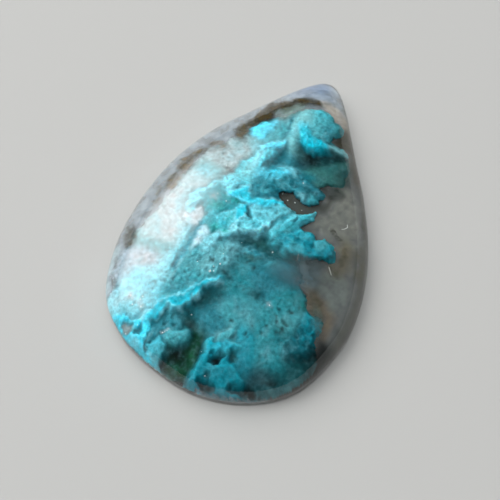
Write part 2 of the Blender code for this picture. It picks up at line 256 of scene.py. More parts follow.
# broad forms under the sheets, which melt into one another
SOFT_FORMS: tuple[Sheet, ...] = (
    # the foot's right side, low and dark; the apron's dark tone is painted shade
    Sheet("apron", P.PINE, -0.66, (
        (65, -99), (82, -93), (96, -86), (93, -106), (84, -123), (71, -136), (54, -146), (34, -151),
        (26, -148), (44, -136), (50, -126), (64, -114)), slope=0.9, crinkle=0.2, grain=0.7),
    Sheet("apron fold", P.FJORD, -0.52, (
        (80, -104), (85, -109), (83, -122), (74, -132), (60, -139), (56, -134), (70, -128), (77, -114)),
        slope=0.9, crinkle=0.2, grain=0.6),
    Sheet("lower dusk", P.DUSK, -0.46, (
        (43, -117), (52, -116), (64, -119), (63, -132), (50, -137), (42, -133), (40, -126)), slope=1.0,
        crinkle=0.2, grain=0.9),
    # the pale left flank
    Sheet("flank skirt", P.MILK, -0.5, (
        (-50, 78), (-70, 64), (-86, 32), (-96, -10), (-102, -60), (-98, -106), (-86, -126), (-74, -124),
        (-76, -80), (-70, -40), (-66, 0), (-56, 40), (-44, 64)), slope=0.6, crinkle=0.4, grain=1.0),
    Sheet("upper flank", P.MILK, -0.42, (
        (-25, 54), (-31, 66), (-40, 73), (-50, 72), (-63, 59), (-71, 43), (-72, 24), (-50, 20), (-39, 16),
        (-28, 24), (-26, 36)), slope=0.9, crinkle=0.4, grain=1.0),
    Sheet("milky flank", P.MILK, -0.14, (
        (-46, 14), (-54, 20), (-69, 20), (-75, 6), (-79, -10), (-83, -30), (-87, -52), (-76, -56),
        (-56, -58), (-46, -52), (-43, -34), (-40, -22), (-45, -15), (-50, -4)), slope=1.2, crinkle=0.3,
        grain=1.0),
    Sheet("milky shoulder", P.SAGE, -0.12, (
        (-43, 14), (-44, 26), (-54, 28), (-66, 27), (-68, 19), (-60, 15), (-50, 11)), slope=1.2,
        crinkle=0.3, grain=1.0),
    Sheet("flank step", P.SAGE, -0.2, (
        (-87, -51), (-70, -54), (-54, -54), (-48, -58), (-50, -65), (-64, -65), (-87, -65)), slope=1.0,
        crinkle=0.4, grain=1.0),
    Sheet("lower milk", P.LILAC, -0.08, (
        (-94, -68), (-76, -65), (-62, -68), (-59, -76), (-64, -82), (-74, -83), (-80, -92), (-82, -104),
        (-88, -112), (-94, -96)), slope=1.4, crinkle=0.4, grain=1.0),
    Sheet("aqua flank", P.POWDER, 0.02, (
        (-82, -96), (-74, -82), (-66, -79), (-58, -79), (-48, -86), (-46, -102), (-49, -112), (-55, -120),
        (-64, -123), (-82, -123), (-88, -112)), slope=1.6, crinkle=0.5, grain=1.0),
    Sheet("flank fold", P.POWDER, 0.06, (
        (-51, -34), (-45, -38), (-46, -52), (-48, -64), (-47.5, -80), (-47.5, -91), (-56, -90), (-60, -80),
        (-55, -66), (-52, -50)), slope=1.4, crinkle=0.4, grain=1.0),
    Sheet("turquoise dip", P.TURQUOISE, -0.06, (
        (-52, -92), (-44, -90), (-41, -96), (-45, -106), (-50, -114), (-58, -120), (-60, -114), (-54, -107),
        (-59, -100), (-62, -94)), slope=1.2, crinkle=0.5, grain=0.6),
    # the sunken middle
    Sheet("middle floor", P.SEA, -0.46, (
        (-22, -34), (0, -33), (26, -34), (48, -39), (60, -49), (70, -62), (74, -80), (69, -102), (62, -116),
        (46, -128), (30, -126), (6, -115), (-8, -108), (-16, -94), (-26, -80), (-34, -50)), slope=0.9,
        crinkle=0.15, grain=1.0),
    Sheet("left mid slope", P.TEAL, -0.34, (
        (-10, -40), (2, -44), (14, -49), (16, -58), (6, -62), (-6, -59)), slope=0.8, crinkle=0.2,
        grain=1.0),
    Sheet("blue shallows", P.SEA, -0.3, (
        (16, -44), (24, -39), (31, -36), (44, -37), (54, -46), (50, -58), (34, -65), (20, -63), (14, -54)),
        slope=0.9, crinkle=0.15, grain=0.6),
    Sheet("middle lobe", P.TEAL, -0.3, (
        (1, -65), (10, -62), (22, -63), (23, -72), (16, -77), (6, -78), (-2, -74)), slope=1.0, crinkle=0.2,
        grain=0.8),
    Sheet("pale lobe", P.STREAM, -0.2, (
        (8, -80), (18, -77), (34, -75), (40, -84), (38, -96), (26, -102), (14, -98), (5, -90)), slope=0.9,
        crinkle=0.2, grain=0.8),
    Sheet("speckled lobe", P.TEAL, -0.16, (
        (38, -68), (44, -57), (52, -51), (60, -49), (66, -54), (69, -62), (64, -72), (54, -78), (42, -78)),
        slope=1.2, crinkle=0.25, grain=1.0),
    Sheet("pale shelf", P.STREAM, -0.06, (
        (52, -72), (62, -68), (68, -70), (67, -82), (62, -88), (54, -87), (51, -79)), slope=1.2,
        crinkle=0.25, grain=0.9),
    Sheet("shallow pits", P.TEAL, -0.18, (
        (36, -84), (46, -80), (54, -86), (62, -89), (62, -98), (48, -101), (38, -98)), slope=1.0,
        crinkle=0.3, grain=1.0),
    Sheet("lower lobe", P.TEAL, -0.18, (
        (39, -99), (54, -97), (65, -94), (67, -106), (63, -118), (50, -121), (42, -114), (38, -106)),
        slope=1.0, crinkle=0.3, grain=1.0),
    Sheet("lower column", P.HARBOUR, -0.1, (
        (27, -96), (38, -102), (43, -112), (44, -124), (39, -131), (33, -128), (33, -116), (25, -108)),
        slope=1.0, crinkle=0.2, grain=0.7),
    Sheet("moss step", P.SEA, -0.4, (
        (-7, -100), (6, -97), (17, -101), (17, -109), (10, -114), (-2, -113)), slope=1.0, crinkle=0.25,
        grain=0.9),
    Sheet("ledge shadow", P.ABYSS, -0.5, (
        (-4, -72), (-14, -79), (-18, -90), (-22, -96), (-30, -104), (-22, -110), (-12, -106), (-5, -96),
        (1, -86), (1, -76)), slope=1.2, crinkle=0.15, grain=0.5),
    # the crinkled ground left of the middle
    Sheet("crinkled ledge", P.STREAM, 0.22, (
        (-8, -69), (-16, -80), (-23, -90), (-28, -96), (-38, -98), (-43, -102), (-42, -84), (-43, -60),
        (-41, -40), (-34, -32), (-22, -35), (-12, -40), (-7, -54)), tilt=(0.04, -0.03), crinkle=0.6,
        grain=1.0, slope=1.4),
    Sheet("druse", P.MIST, 0.3, (
        (-24, -47), (-13, -38), (-6, -37), (-4, -46), (-7, -58), (-11, -67), (-22, -69), (-26, -58)),
        crinkle=0.7, grain=1.0, slope=1.2),
    # the foot's low steps
    Sheet("lower step", P.SEA, -0.2, (
        (-41, -109), (-32, -106), (-22, -108), (-19, -116), (-24, -124), (-29, -130), (-26, -140),
        (-30, -148), (-39, -146), (-42, -132)), slope=1.4, crinkle=0.5, grain=0.6),
    # under the head
    Sheet("sheltered shelf", P.REED, -0.14, (
        (15, 50), (24, 57), (32, 63), (36, 69), (43, 74), (47, 82), (52, 80), (53, 72), (52, 64), (55, 59),
        (52, 53), (43, 50), (38, 44), (28, 41), (16, 44)), slope=1.1, crinkle=0.2, grain=0.6),
    Sheet("throat", P.SEA, -0.06, (
        (-2, 76), (5, 74), (8.5, 66), (8, 56), (4, 49), (1, 54), (1, 62)), slope=1.0, crinkle=0.15,
        grain=0.4),
    Sheet("left cheek", P.SILT, 0.2, (
        (-22, 92), (-19, 98), (-13, 101), (-9, 109), (-6, 104), (-5, 90), (-3, 80), (-7, 73), (-14, 68),
        (-19, 65), (-26, 66), (-25, 74), (-22, 83)), tilt=(0.03, -0.02), crinkle=0.4, grain=0.5, slope=1.6),
    Sheet("left fringe", P.PALE, 0.06, (
        (-35, 71), (-26, 68), (-23, 62), (-23, 52), (-28, 52), (-32, 60)), crinkle=0.4, grain=0.5,
        slope=1.2),
    Sheet("head", P.SILT, 0.36, (
        (1, 112), (5, 119), (12, 121.5), (18, 120), (20, 115), (26, 114), (32, 115), (33, 108), (31, 103),
        (26, 99), (28, 95), (26, 91), (24, 86), (14, 77), (6, 79), (0, 90), (-2, 97), (0, 104)),
        tilt=(0.0, -0.03), crinkle=0.5, grain=0.5, slope=2.0),
    Sheet("pale column", P.SURF, 0.44, (
        (-7, 109), (-2, 114), (2, 113), (2, 104), (-1, 96), (-1, 86), (3, 78), (8, 73), (8, 66), (3, 68),
        (-3, 74), (-5, 82), (-7, 92), (-8, 101)), crinkle=0.3, grain=0.4, slope=1.6),
)

# the crisp sheets over them
SHEETS: tuple[Sheet, ...] = (
    # free edges on the right of the middle
    Sheet("green ledge", P.SEA, -0.24, (
        (-1, -41), (3, -36), (10, -34.5), (19, -36.5), (17, -41), (9, -42), (3, -43)), rim=P.MIST,
        slope=1.4, crinkle=0.6, grain=1.0),
    Sheet("right shoulder", P.MARINE, -0.04, (
        (69, -66), (74, -66), (79, -64), (84, -69), (84.5, -78), (82, -86), (74, -88), (69, -83),
        (67.5, -74)), slope=1.4, crinkle=0.6, grain=0.8),
    Sheet("right skirt", P.ABYSS, -0.06, (
        (63, -92), (68, -88), (75, -87), (82, -88), (80, -95), (73, -99), (66, -106), (63, -102)),
        slope=1.4, crinkle=0.5, grain=0.7),
    # the foot
    Sheet("small lump", P.STREAM, 0.04, (
        (-29, -123), (-24, -120), (-18, -119), (-14, -115), (-10.5, -120), (-13, -126), (-19, -129.5),
        (-26, -128.5)), slope=2.2, crinkle=0.6, grain=0.4, curl=0.02),
    Sheet("second lump", P.CLOUD, 0.04, (
        (-41, -139), (-38, -133), (-32, -129), (-27, -132), (-25, -140), (-29, -146), (-36, -144)),
        slope=1.8, crinkle=0.6, grain=0.4, curl=0.02),
    Sheet("foot slab", P.MARINE, 0.12, (
        (7.5, -128), (6, -131), (4.5, -136), (4.5, -144), (2.5, -153), (3, -157), (12, -156), (11, -150),
        (13, -147), (20, -148), (25, -146), (31, -147), (36, -144), (41, -142), (46, -139.5), (43, -136),
        (38, -132), (33, -128), (27, -128), (24, -123), (21, -128), (19, -133), (14, -132), (12, -128)),
        rim=P.HARBOUR, tilt=(-0.02, -0.03), grain=0.3),
    Sheet("upper curl", P.STREAM, 0.0, (
        (12, -112), (13.5, -108), (18, -104), (20, -99), (23, -100), (23, -107), (20, -111), (15, -116)),
        rim=P.MIST, slope=1.2, crinkle=0.4, grain=0.3),
    Sheet("foot ledge", P.LAGOON, 0.26, (
        (6, -116), (6, -124), (9, -128), (12, -130.5), (15, -126), (17.5, -122), (22, -120), (26, -118),
        (29, -114), (31.5, -112), (26, -111), (20, -112.5), (15, -116), (10, -118)), rim=P.SHALLOW,
        tilt=(0.02, 0.05), crinkle=0.5, grain=0.3, curl=0.08),
    Sheet("corner block", P.CYAN, 0.2, (
        (-82, -124), (-75, -122), (-69, -121), (-63, -124), (-58, -123.5), (-53, -120), (-48, -118),
        (-43, -122), (-41.5, -129), (-43, -135), (-41, -142), (-33, -144), (-26, -150), (-46, -149),
        (-60, -143), (-74, -134)), rim=P.FOAM, tilt=(0.04, 0.03), crinkle=0.6, curl=0.04),
    # the crinkled ledge's lip
    Sheet("ledge lip", P.TURQUOISE, 0.44, (
        (-6, -66), (-4, -71), (-9, -74), (-14, -77.5), (-16, -80), (-16.5, -87), (-19, -89.5), (-22, -89.5),
        (-21, -93), (-24, -98), (-28, -102), (-32, -104), (-36, -103.5), (-39, -100.5), (-38, -97.5),
        (-35, -94), (-32, -93.5), (-29, -89), (-26, -84), (-23, -79), (-19, -77), (-14, -73), (-9, -70)),
        rim=P.FOAM, tilt=(0.04, -0.04), crinkle=0.5, grain=0.2, slope=3.0, curl=0.1),
    Sheet("ledge heel", P.TURQUOISE, 0.34, (
        (-40.5, -97.5), (-38.5, -102), (-39, -110), (-42, -116), (-47, -120), (-54, -120), (-52, -115),
        (-48, -111), (-46.5, -106), (-45, -101)), rim=P.FOAM, tilt=(0.04, -0.03), crinkle=0.5, grain=0.2,
        curl=0.06, slope=2.2),
    # the head's free edges
    Sheet("neck", P.SHALLOW, 0.26, (
        (-23, 62), (-24.5, 54), (-25, 48), (-29, 43), (-32, 36), (-32, 26), (-28, 20), (-18, 18), (-15, 26),
        (-15.5, 38), (-15, 46), (-12.5, 53), (-9.5, 59), (-13, 64)), tilt=(0.05, -0.03), crinkle=0.7,
        grain=0.6, slope=2.0, curl=0.0),
    Sheet("head wing", P.SAGE, 0.26, (
        (26, 89.5), (34, 90.5), (40, 93.5), (43.5, 92.5), (42, 88), (34, 86.5), (27, 84), (23, 86)),
        crinkle=0.4, grain=0.4),
    Sheet("head lip", P.TURQUOISE, 0.52, (
        (-2.5, 98), (1, 100), (5, 98), (8, 94), (11, 90), (16, 90), (20, 89.5), (26, 88), (28, 85.5),
        (24, 82), (19, 78.5), (13, 77), (8, 78), (5, 82), (2, 87), (-1, 92)), rim=P.CYAN,
        tilt=(-0.02, -0.03), crinkle=0.7, grain=0.3, curl=0.02, slope=3.0),
    Sheet("head lobe", P.BRIGHT, 0.34, (
        (-20, 92), (-24, 90.5), (-29, 88), (-33, 84.5), (-36.5, 80), (-36, 75), (-32, 71), (-28, 69),
        (-24.5, 70), (-22, 75), (-20.5, 83)), tilt=(0.0, -0.04), crinkle=0.3, grain=0.2, curl=0.0,
        slope=2.0),
    Sheet("chin", P.BRIGHT, 0.42, (
        (-4, 74), (-8, 73.5), (-13, 69.5), (-19, 66), (-23, 62), (-22, 59), (-16, 61.5), (-10, 65),
        (-6, 68.5)), rim=P.FOAM, tilt=(0.05, -0.03), crinkle=0.6, grain=0.4, slope=2.6),
    # the shoulder
    Sheet("shoulder ledge", P.SEA, 0.28, (
        (-15, 36), (-9, 39), (-2, 42), (3, 45), (9, 48), (14, 46), (19, 47), (28, 44), (35, 41.5),
        (44, 39.5), (45, 36), (40, 32), (41, 28), (36, 25.5), (32, 28), (30, 24), (26.5, 22.5), (24, 25),
        (22, 28), (15, 27.5), (11, 24), (6, 23), (2, 18), (-4, 14), (-11, 11), (-13, 16), (-14, 24),
        (-15, 30)), tilt=(-0.1, -0.02), crinkle=0.6, grain=0.6, slope=1.2, curl=0.0),
    Sheet("shoulder rim", P.BRIGHT, 0.46, (
        (-15, 37), (-9, 39), (-2, 41.5), (3, 45), (9, 48), (13, 46), (6, 42), (3.5, 35), (-2, 32), (-5, 30),
        (-10, 29), (-13, 26), (-14, 32)), rim=P.FOAM, tilt=(-0.05, 0.0), crinkle=0.6, grain=0.2, slope=1.4),
    Sheet("first knob", P.MIST, 0.34, (
        (24, 32), (28, 32.5), (29.5, 27), (26.5, 22.5), (24, 26)), crinkle=0.3, grain=0.3, slope=1.4),
    Sheet("second knob", P.STREAM, 0.3, (
        (33, 33), (38, 33), (40, 28.5), (36, 26), (33, 28)), crinkle=0.3, grain=0.3, slope=1.4),
    # the crumpled heart
    Sheet("lilac wedge", P.SNOW, 0.06, (
        (-50, -18), (-45, -16), (-41, -20), (-39.5, -25), (-42, -32), (-52, -34), (-56, -26)), slope=1.2,
        crinkle=0.3, grain=0.3),
    Sheet("left plate", P.TEAL, 0.3, (
        (-42, 14), (-37, 13), (-35, 7), (-30, 4), (-20, 4), (-14, 1), (-13, -1), (-19, -5), (-26, -10),
        (-31, -14), (-35, -16), (-42, -14), (-48, -9), (-50, -4), (-48, 3), (-45, 9)), tilt=(-0.03, 0.0),
        crinkle=0.4, grain=0.7, slope=1.4),
    Sheet("far plate", P.STREAM, 0.32, (
        (-31, -13), (-29, -22), (-28, -30), (-31, -34), (-38, -31), (-40, -23), (-38, -14)), crinkle=0.5,
        grain=0.5, slope=1.4),
    Sheet("white knob", P.CHALK, 0.4, (
        (-39, -32), (-33.5, -31), (-30.5, -36), (-32, -45), (-37, -52), (-39.5, -46)), crinkle=0.4,
        grain=0.5, slope=1.4),
    Sheet("lower plate", P.SHALLOW, 0.4, (
        (-16, -7), (-17, -15), (-15, -20), (-17, -26), (-18, -30), (-22, -30), (-26, -28), (-29, -22),
        (-29, -16), (-24, -10)), rim=P.AQUA, crinkle=0.6, grain=0.5, slope=1.6),
    Sheet("lower wedge", P.POWDER, 0.44, (
        (-16, -16), (-12, -19), (-6, -22), (-11, -27), (-14, -31), (-19, -33), (-21.5, -38), (-22, -45),
        (-25, -49.5), (-31, -51), (-33, -46), (-31, -39), (-25, -32), (-19, -29), (-16, -22)), rim=P.FOAM,
        crinkle=0.5, grain=0.4, tilt=(0.04, -0.05), slope=2.2),
    Sheet("ridge left", P.AQUA, 0.42, (
        (-40, 15), (-36, 22), (-33, 24.5), (-28, 24), (-25, 19), (-27, 14), (-28, 9), (-33, 6.5),
        (-36, 10)), crinkle=0.9, grain=0.6, slope=1.6),
    Sheet("tongue rim", P.POWDER, 0.24, (
        (-42, 16), (-47, 11), (-50, 5), (-55, 1), (-59, -6), (-57, -11), (-58, -16), (-55, -21), (-52, -20),
        (-52, -14), (-49, -9), (-50, -1), (-46, 5), (-41, 11)), rim=P.AQUA, tilt=(-0.04, 0.0), crinkle=0.9,
        grain=0.8, slope=1.6),
    Sheet("upper ridge", P.CYAN, 0.6, (
        (-24, 13), (-19, 19), (-15, 16), (-12, 11.5), (-6, 11), (0, 13), (7, 15.5), (11, 16), (16, 17),
        (16.5, 13), (10, 11.5), (9, 9), (2, 6), (-5, 3.5), (-13, 3.5), (-18, 4.5), (-24, 4), (-32, 5.5),
        (-29, 9)), rim=P.FOAM, tilt=(0.0, 0.05), crinkle=0.6, grain=0.2, curl=0.06, slope=2.0),
    Sheet("crinkled middle", P.AQUA, 0.5, (
        (-6, 3), (3, 7), (10, 10), (17, 12.5), (23, 12), (23, 8), (18, 2), (14, -2), (13.5, -9), (10, -12),
        (6, -17), (1, -19.5), (-6, -22), (-11, -24), (-13, -19), (-12, -14), (-9, -9), (-8, -1)),
        rim=P.FOAM, tilt=(0.04, -0.05), crinkle=0.8, grain=0.5, slope=2.2, curl=0.06),
    Sheet("centre ridge", P.CYAN, 0.58, (
        (-19, -3), (-12, 1), (-9, -1), (-8, -7), (-10, -13), (-13, -18), (-16, -15), (-18, -9)), rim=P.FOAM,
        crinkle=0.4, grain=0.2, curl=0.05, slope=1.8),
    # the two fingers on the right
    Sheet("finger root", P.HARBOUR, 0.34, (
        (13, 13), (20, 13.5), (25, 12), (26, 8), (23, 2), (19, -4), (17, -12), (13, -8), (14, -2), (16, 3)),
        rim=P.STREAM, crinkle=0.6, grain=0.3, slope=1.8),
    Sheet("first finger", P.SHALLOW, 0.44, (
        (17, -8), (19, -3), (24, 3), (26, 8), (29, 10.5), (33, 11.5), (36, 14), (38.5, 19), (40, 21.5),
        (43, 21), (43.5, 17), (41, 13), (38, 8), (35, 3), (33, -3), (29, -7), (25, -10), (22, -15),
        (19, -17), (17, -13)), rim=P.AQUA, tilt=(-0.08, 0.02), crinkle=0.5, grain=0.3, slope=2.0),
    Sheet("second finger", P.LAGOON, 0.24, (
        (20, -15), (25, -12), (30, -9), (34, -5), (38, -2.5), (44, -3), (47, 0), (48.5, 2), (49.5, -2),
        (51.5, -6), (53.5, -2), (56, 1), (60, 1), (62, -3), (65, -2.5), (68, -4), (70, -9), (72, -14),
        (70, -17), (65, -17.5), (62, -20), (57, -21), (52, -20), (48, -23), (42, -24.5), (37, -24),
        (33, -22), (29, -18), (24, -20)), rim=P.SHALLOW, tilt=(-0.02, 0.04), crinkle=0.6, grain=0.5,
        slope=1.8),
    Sheet("finger lump", P.STREAM, 0.36, (
        (54, -4), (57, 0), (61, 0), (63, -5), (62, -11), (57, -12), (54, -9)), crinkle=0.4, grain=0.3,
        slope=1.2),
    Sheet("finger heel", P.STREAM, 0.26, (
        (33, -14), (39, -12), (46, -15), (49, -20), (42, -23), (36, -22)), crinkle=0.4, grain=0.4,
        slope=1.2),
)

# hollows that lie under the sheets; the black and dark teal under the head, the chin and the middle are
# painted shadow, while the green hollow keeps its moss green
SOFT_HOLLOWS_AND_SHADE: tuple[Hollow, ...] = (
    Hollow("under the head", P.INK, 0.66, (
        (10, 74), (16, 75.5), (24, 79), (31, 84), (42, 89), (45, 83), (40, 75), (32, 68), (26, 61),
        (19, 56), (11, 57), (9, 66)), 0.5, 1.6),
    Hollow("under the chin", P.DEEP, 0.28, (
        (-16, 41), (-15, 52), (-11, 60), (-6, 66), (0, 67), (3, 56), (2, 48), (-3, 43.5), (-9, 40)), 0.3,
        1.6),
    Hollow("under the middle", P.FJORD, 0.52, (
        (-9, -30), (-3, -25), (2, -22), (9, -17), (15, -12), (20, -20), (28, -24), (37, -26), (40, -30),
        (33, -35), (24, -37), (13, -35), (4, -35), (-2, -33)), 0.5, 1.4),
    Hollow("green hollow", P.MOSS, 0.8, (
        (-17, -107), (-9, -111), (-2, -113), (5, -115), (7, -126), (5, -134), (4, -144), (1, -156),
        (-14, -156), (-29, -151), (-24, -146), (-28, -142), (-21, -137), (-23, -130), (-15, -128),
        (-10, -124), (-9, -120), (-15, -115)), 0.35, 1.8),
)

# hollows cut down between the sheets; the black of the holes and cleft and the dark teal of the cracks are
# painted shade, while the corner hole and slot keep their own grey and teal
CUT_HOLLOWS_AND_SHADE: tuple[Hollow, ...] = (
    Hollow("corner hole", P.ASH, 0.3, (
        (-67, -128), (-59, -128), (-58, -132), (-60, -135), (-64, -134), (-67, -131)), 0.12),
    Hollow("corner slot", P.SEA, 0.2, (
        (-55, -129), (-51, -126), (-49, -129), (-51, -133), (-57, -133)), 0.14),
    Hollow("foot hole", P.INK, 0.7, (
        (23, -125), (21, -129), (19, -133), (15, -132.5), (15, -129), (19, -127)), 0.14, 3.0),
    Hollow("foot shadow", P.FJORD, 0.3, (
        (27, -119), (29, -118), (33, -120), (33, -126), (30, -127.5), (28, -123)), 0.25, 2.0),
    Hollow("heel hole", P.INK, 0.6, (
        (11.5, -148.5), (19, -148), (25, -148.5), (26, -150), (22, -153), (14, -154), (11.5, -151)), 0.16,
        3.0),
    Hollow("heel dent", P.ABYSS, 0.2, ((14, -141), (17, -141), (18, -145), (15, -146)), 0.14),
    Hollow("skirt cleft", P.INK, 0.8, (
        (36, -146.5), (42, -143), (46, -141), (46, -138), (52, -138.5), (59, -140), (62, -141), (56, -144),
        (48, -145), (42, -145)), 0.2, 2.0),
    Hollow("middle crack", P.ABYSS, -0.2, (
        (-9, 0), (-7.5, -2), (-5, -6), (-2, -9), (-1, -11), (-3.5, -10.5), (-7, -7.5), (-9, -4)), 0.14),
    Hollow("finger eye", P.ABYSS, -0.2, ((30, 4.5), (31.5, 7), (33, 6.5), (31.5, 4)), 0.1),
)

# thin folds and creases; the dark sunken creases carry painted shade
STROKES: tuple[Stroke, ...] = (
    Stroke(P.LAGOON, 0.42, -0.12, ((-40, -29), (-41, -38), (-42, -48), (-43, -58), (-43, -74)), 0.95),
    Stroke(P.SHALLOW, 0.3, 0.05, ((-46, -50), (-47.5, -62), (-47.5, -76)), 0.6),
    Stroke(P.SEA, 0.3, -0.1, ((-41.5, -78), (-40.5, -86), (-41.5, -94))),
    Stroke(P.PALE, 0.22, 0.06, ((-41, -66), (-42, -76), (-43.5, -84))),
    Stroke(P.BRIGHT, 0.18, 0.06, ((-33, 7), (-26, 5), (-17, 4.2), (-8, 3.5), (1, 6))),
    Stroke(P.AQUA, 0.16, 0.05, ((-25, 17), (-28, 12), (-29, 8))),
    Stroke(P.AQUA, 0.15, 0.06, ((-14, -1), (-18, -6), (-23, -10), (-28, -14), (-30, -19))),
    Stroke(P.FOAM, 0.14, 0.06, ((-9.5, -2), (-8.5, -8), (-11, -14), (-14, -19), (-16, -25))),
    Stroke(P.AQUA, 0.12, 0.05, ((-17.5, -8), (-17, -13), (-16.5, -18), (-18, -24))),
    Stroke(P.AQUA, 0.14, 0.06, ((0, 3), (4, -2), (9, -3), (12, -8))),
    Stroke(P.CHALK, 0.07, 0.05, ((8, -11.5), (11, -12), (14, -10)), 0.9),
    Stroke(P.FOAM, 0.14, 0.05, ((-15, -21), (-9, -23), (-2, -20.5), (5, -17.5), (9, -14))),
    Stroke(P.SHALLOW, 0.16, 0.06, ((-6, -14), (0, -12), (2, -7), (7, -5))),
    Stroke(P.SEA, 0.12, -0.06, ((-11.5, -20), (-9, -20.5), (-6, -20))),
    Stroke(P.FERN, 0.12, -0.05, ((-19, 1.5), (-16, 0), (-14, 1)), 0.6),
    Stroke(P.DEEP, 0.16, -0.1, ((15, -11), (14.5, -4), (17, 1)), 0.6),
    Stroke(P.DEEP, 0.14, -0.08, ((22, 5), (23, 9)), 0.6),
    Stroke(P.POWDER, 0.09, 0.06, ((22, 13), (25, 13.2), (28, 12), (30, 10.2)), 0.9),
    Stroke(P.PINE, 0.1, -0.06, ((24, 11.5), (27, 11))),
    Stroke(P.AQUA, 0.2, 0.05, ((19, -9), (23, -3), (27, 3), (30, 8)), 0.7),
    Stroke(P.DEEP, 0.18, -0.06, ((27, -6), (31, 0), (34, 5)), 0.5),
    Stroke(P.DEEP, 0.16, -0.08, ((52, -7), (53, -11), (53, -17)), 0.7),
    Stroke(P.DEEP, 0.14, -0.06, ((45, -5), (43, -9), (46, -13)), 0.6),
    Stroke(P.PINE, 0.22, -0.08, ((64, -15.5), (67, -15), (69, -12)), 0.7),
    Stroke(P.STREAM, 0.14, 0.05, ((30, -10), (36, -8), (42, -8), (49, -5)), 0.6),
    Stroke(P.STREAM, 0.14, 0.05, ((26, -14), (32, -13), (38, -15)), 0.6),
    Stroke(P.DEEP, 0.2, -0.08, ((-6, 23), (1, 23.5), (7, 23.5))),
    Stroke(P.DEEP, 0.3, -0.08, ((-13, 28), (-13, 20), (-11, 13)), 0.6),
    Stroke(P.STREAM, 0.18, 0.05, ((10, 35), (17, 31), (22, 32)), 0.6),
    Stroke(P.DEEP, 0.16, -0.06, ((6, 32), (12, 30), (19, 34), (23, 38)), 0.5),
    Stroke(P.BRIGHT, 0.12, 0.04, ((7, 91), (8, 86), (11, 82))),
    Stroke(P.SEA, 0.22, -0.08, ((-9, 102), (-8, 94), (-6.5, 84), (-7.5, 77))),
    Stroke(P.MIST, 0.16, 0.04, ((22, 99), (19, 93), (23, 89))),
    Stroke(P.DEEP, 0.18, -0.08, ((-39, -135), (-35, -129), (-31, -124))),
    Stroke(P.CHALK, 0.08, 0.05, ((-32, -125), (-30, -123.5), (-27, -121)), 0.95),
    Stroke(P.DEEP, 0.16, -0.08, ((-42, -122), (-42.5, -130), (-42, -138), (-40, -143))),
    Stroke(P.LAGOON, 0.3, -0.03, ((-46, -117), (-44, -110), (-42, -104)), 0.5),
    Stroke(P.LAGOON, 0.28, -0.03, ((-35, -98.5), (-28, -98.5), (-24.5, -93), (-21, -86), (-17, -79)), 0.6),
    Stroke(P.POWDER, 0.11, 0.06, (
        (-52, -121), (-49, -114), (-46, -106), (-41, -99.5), (-35, -95), (-29, -93), (-25, -87),
        (-20.5, -80), (-15, -74))),
    Stroke(P.POWDER, 0.11, 0.06, (
        (-41, -119), (-38, -112), (-36.5, -107), (-39, -101.5), (-33, -103), (-27, -102.5), (-23, -98),
        (-19.5, -91), (-17, -87), (-15, -80), (-10, -74), (-5, -70))),
    Stroke(P.FOAM, 0.12, 0.05, ((-68, -127.5), (-62, -127), (-56, -128.5), (-53, -126), (-51, -122))),
    Stroke(P.BRIGHT, 0.16, 0.05, ((-60, -138), (-52, -135), (-46, -133), (-43, -126))),
    Stroke(P.MIST, 0.22, 0.04, ((12, -79), (15, -83), (16, -89)), 0.6),
    Stroke(P.MIST, 0.18, 0.04, ((52, -103), (54, -108), (50, -112)), 0.5),
    Stroke(P.MIST, 0.1, 0.04, ((50, -120), (53, -117), (56, -113)), 0.5),
    Stroke(P.STREAM, 0.2, 0.05, ((24, -44), (27, -40), (32, -37)), 0.6),
    Stroke(P.MIST, 0.1, 0.04, ((2, -42), (5, -39), (9, -36)), 0.7),
    Stroke(P.ABYSS, 0.34, -0.08, ((-7, -62), (-2, -64), (5, -65)), 0.6),
    Stroke(P.SHALLOW, 0.13, 0.05, ((-40, -70), (-32, -73), (-24, -76)), 0.5),
    Stroke(P.SEA, 0.14, -0.05, ((-38, -86), (-32, -85), (-27, -82)), 0.5),
)
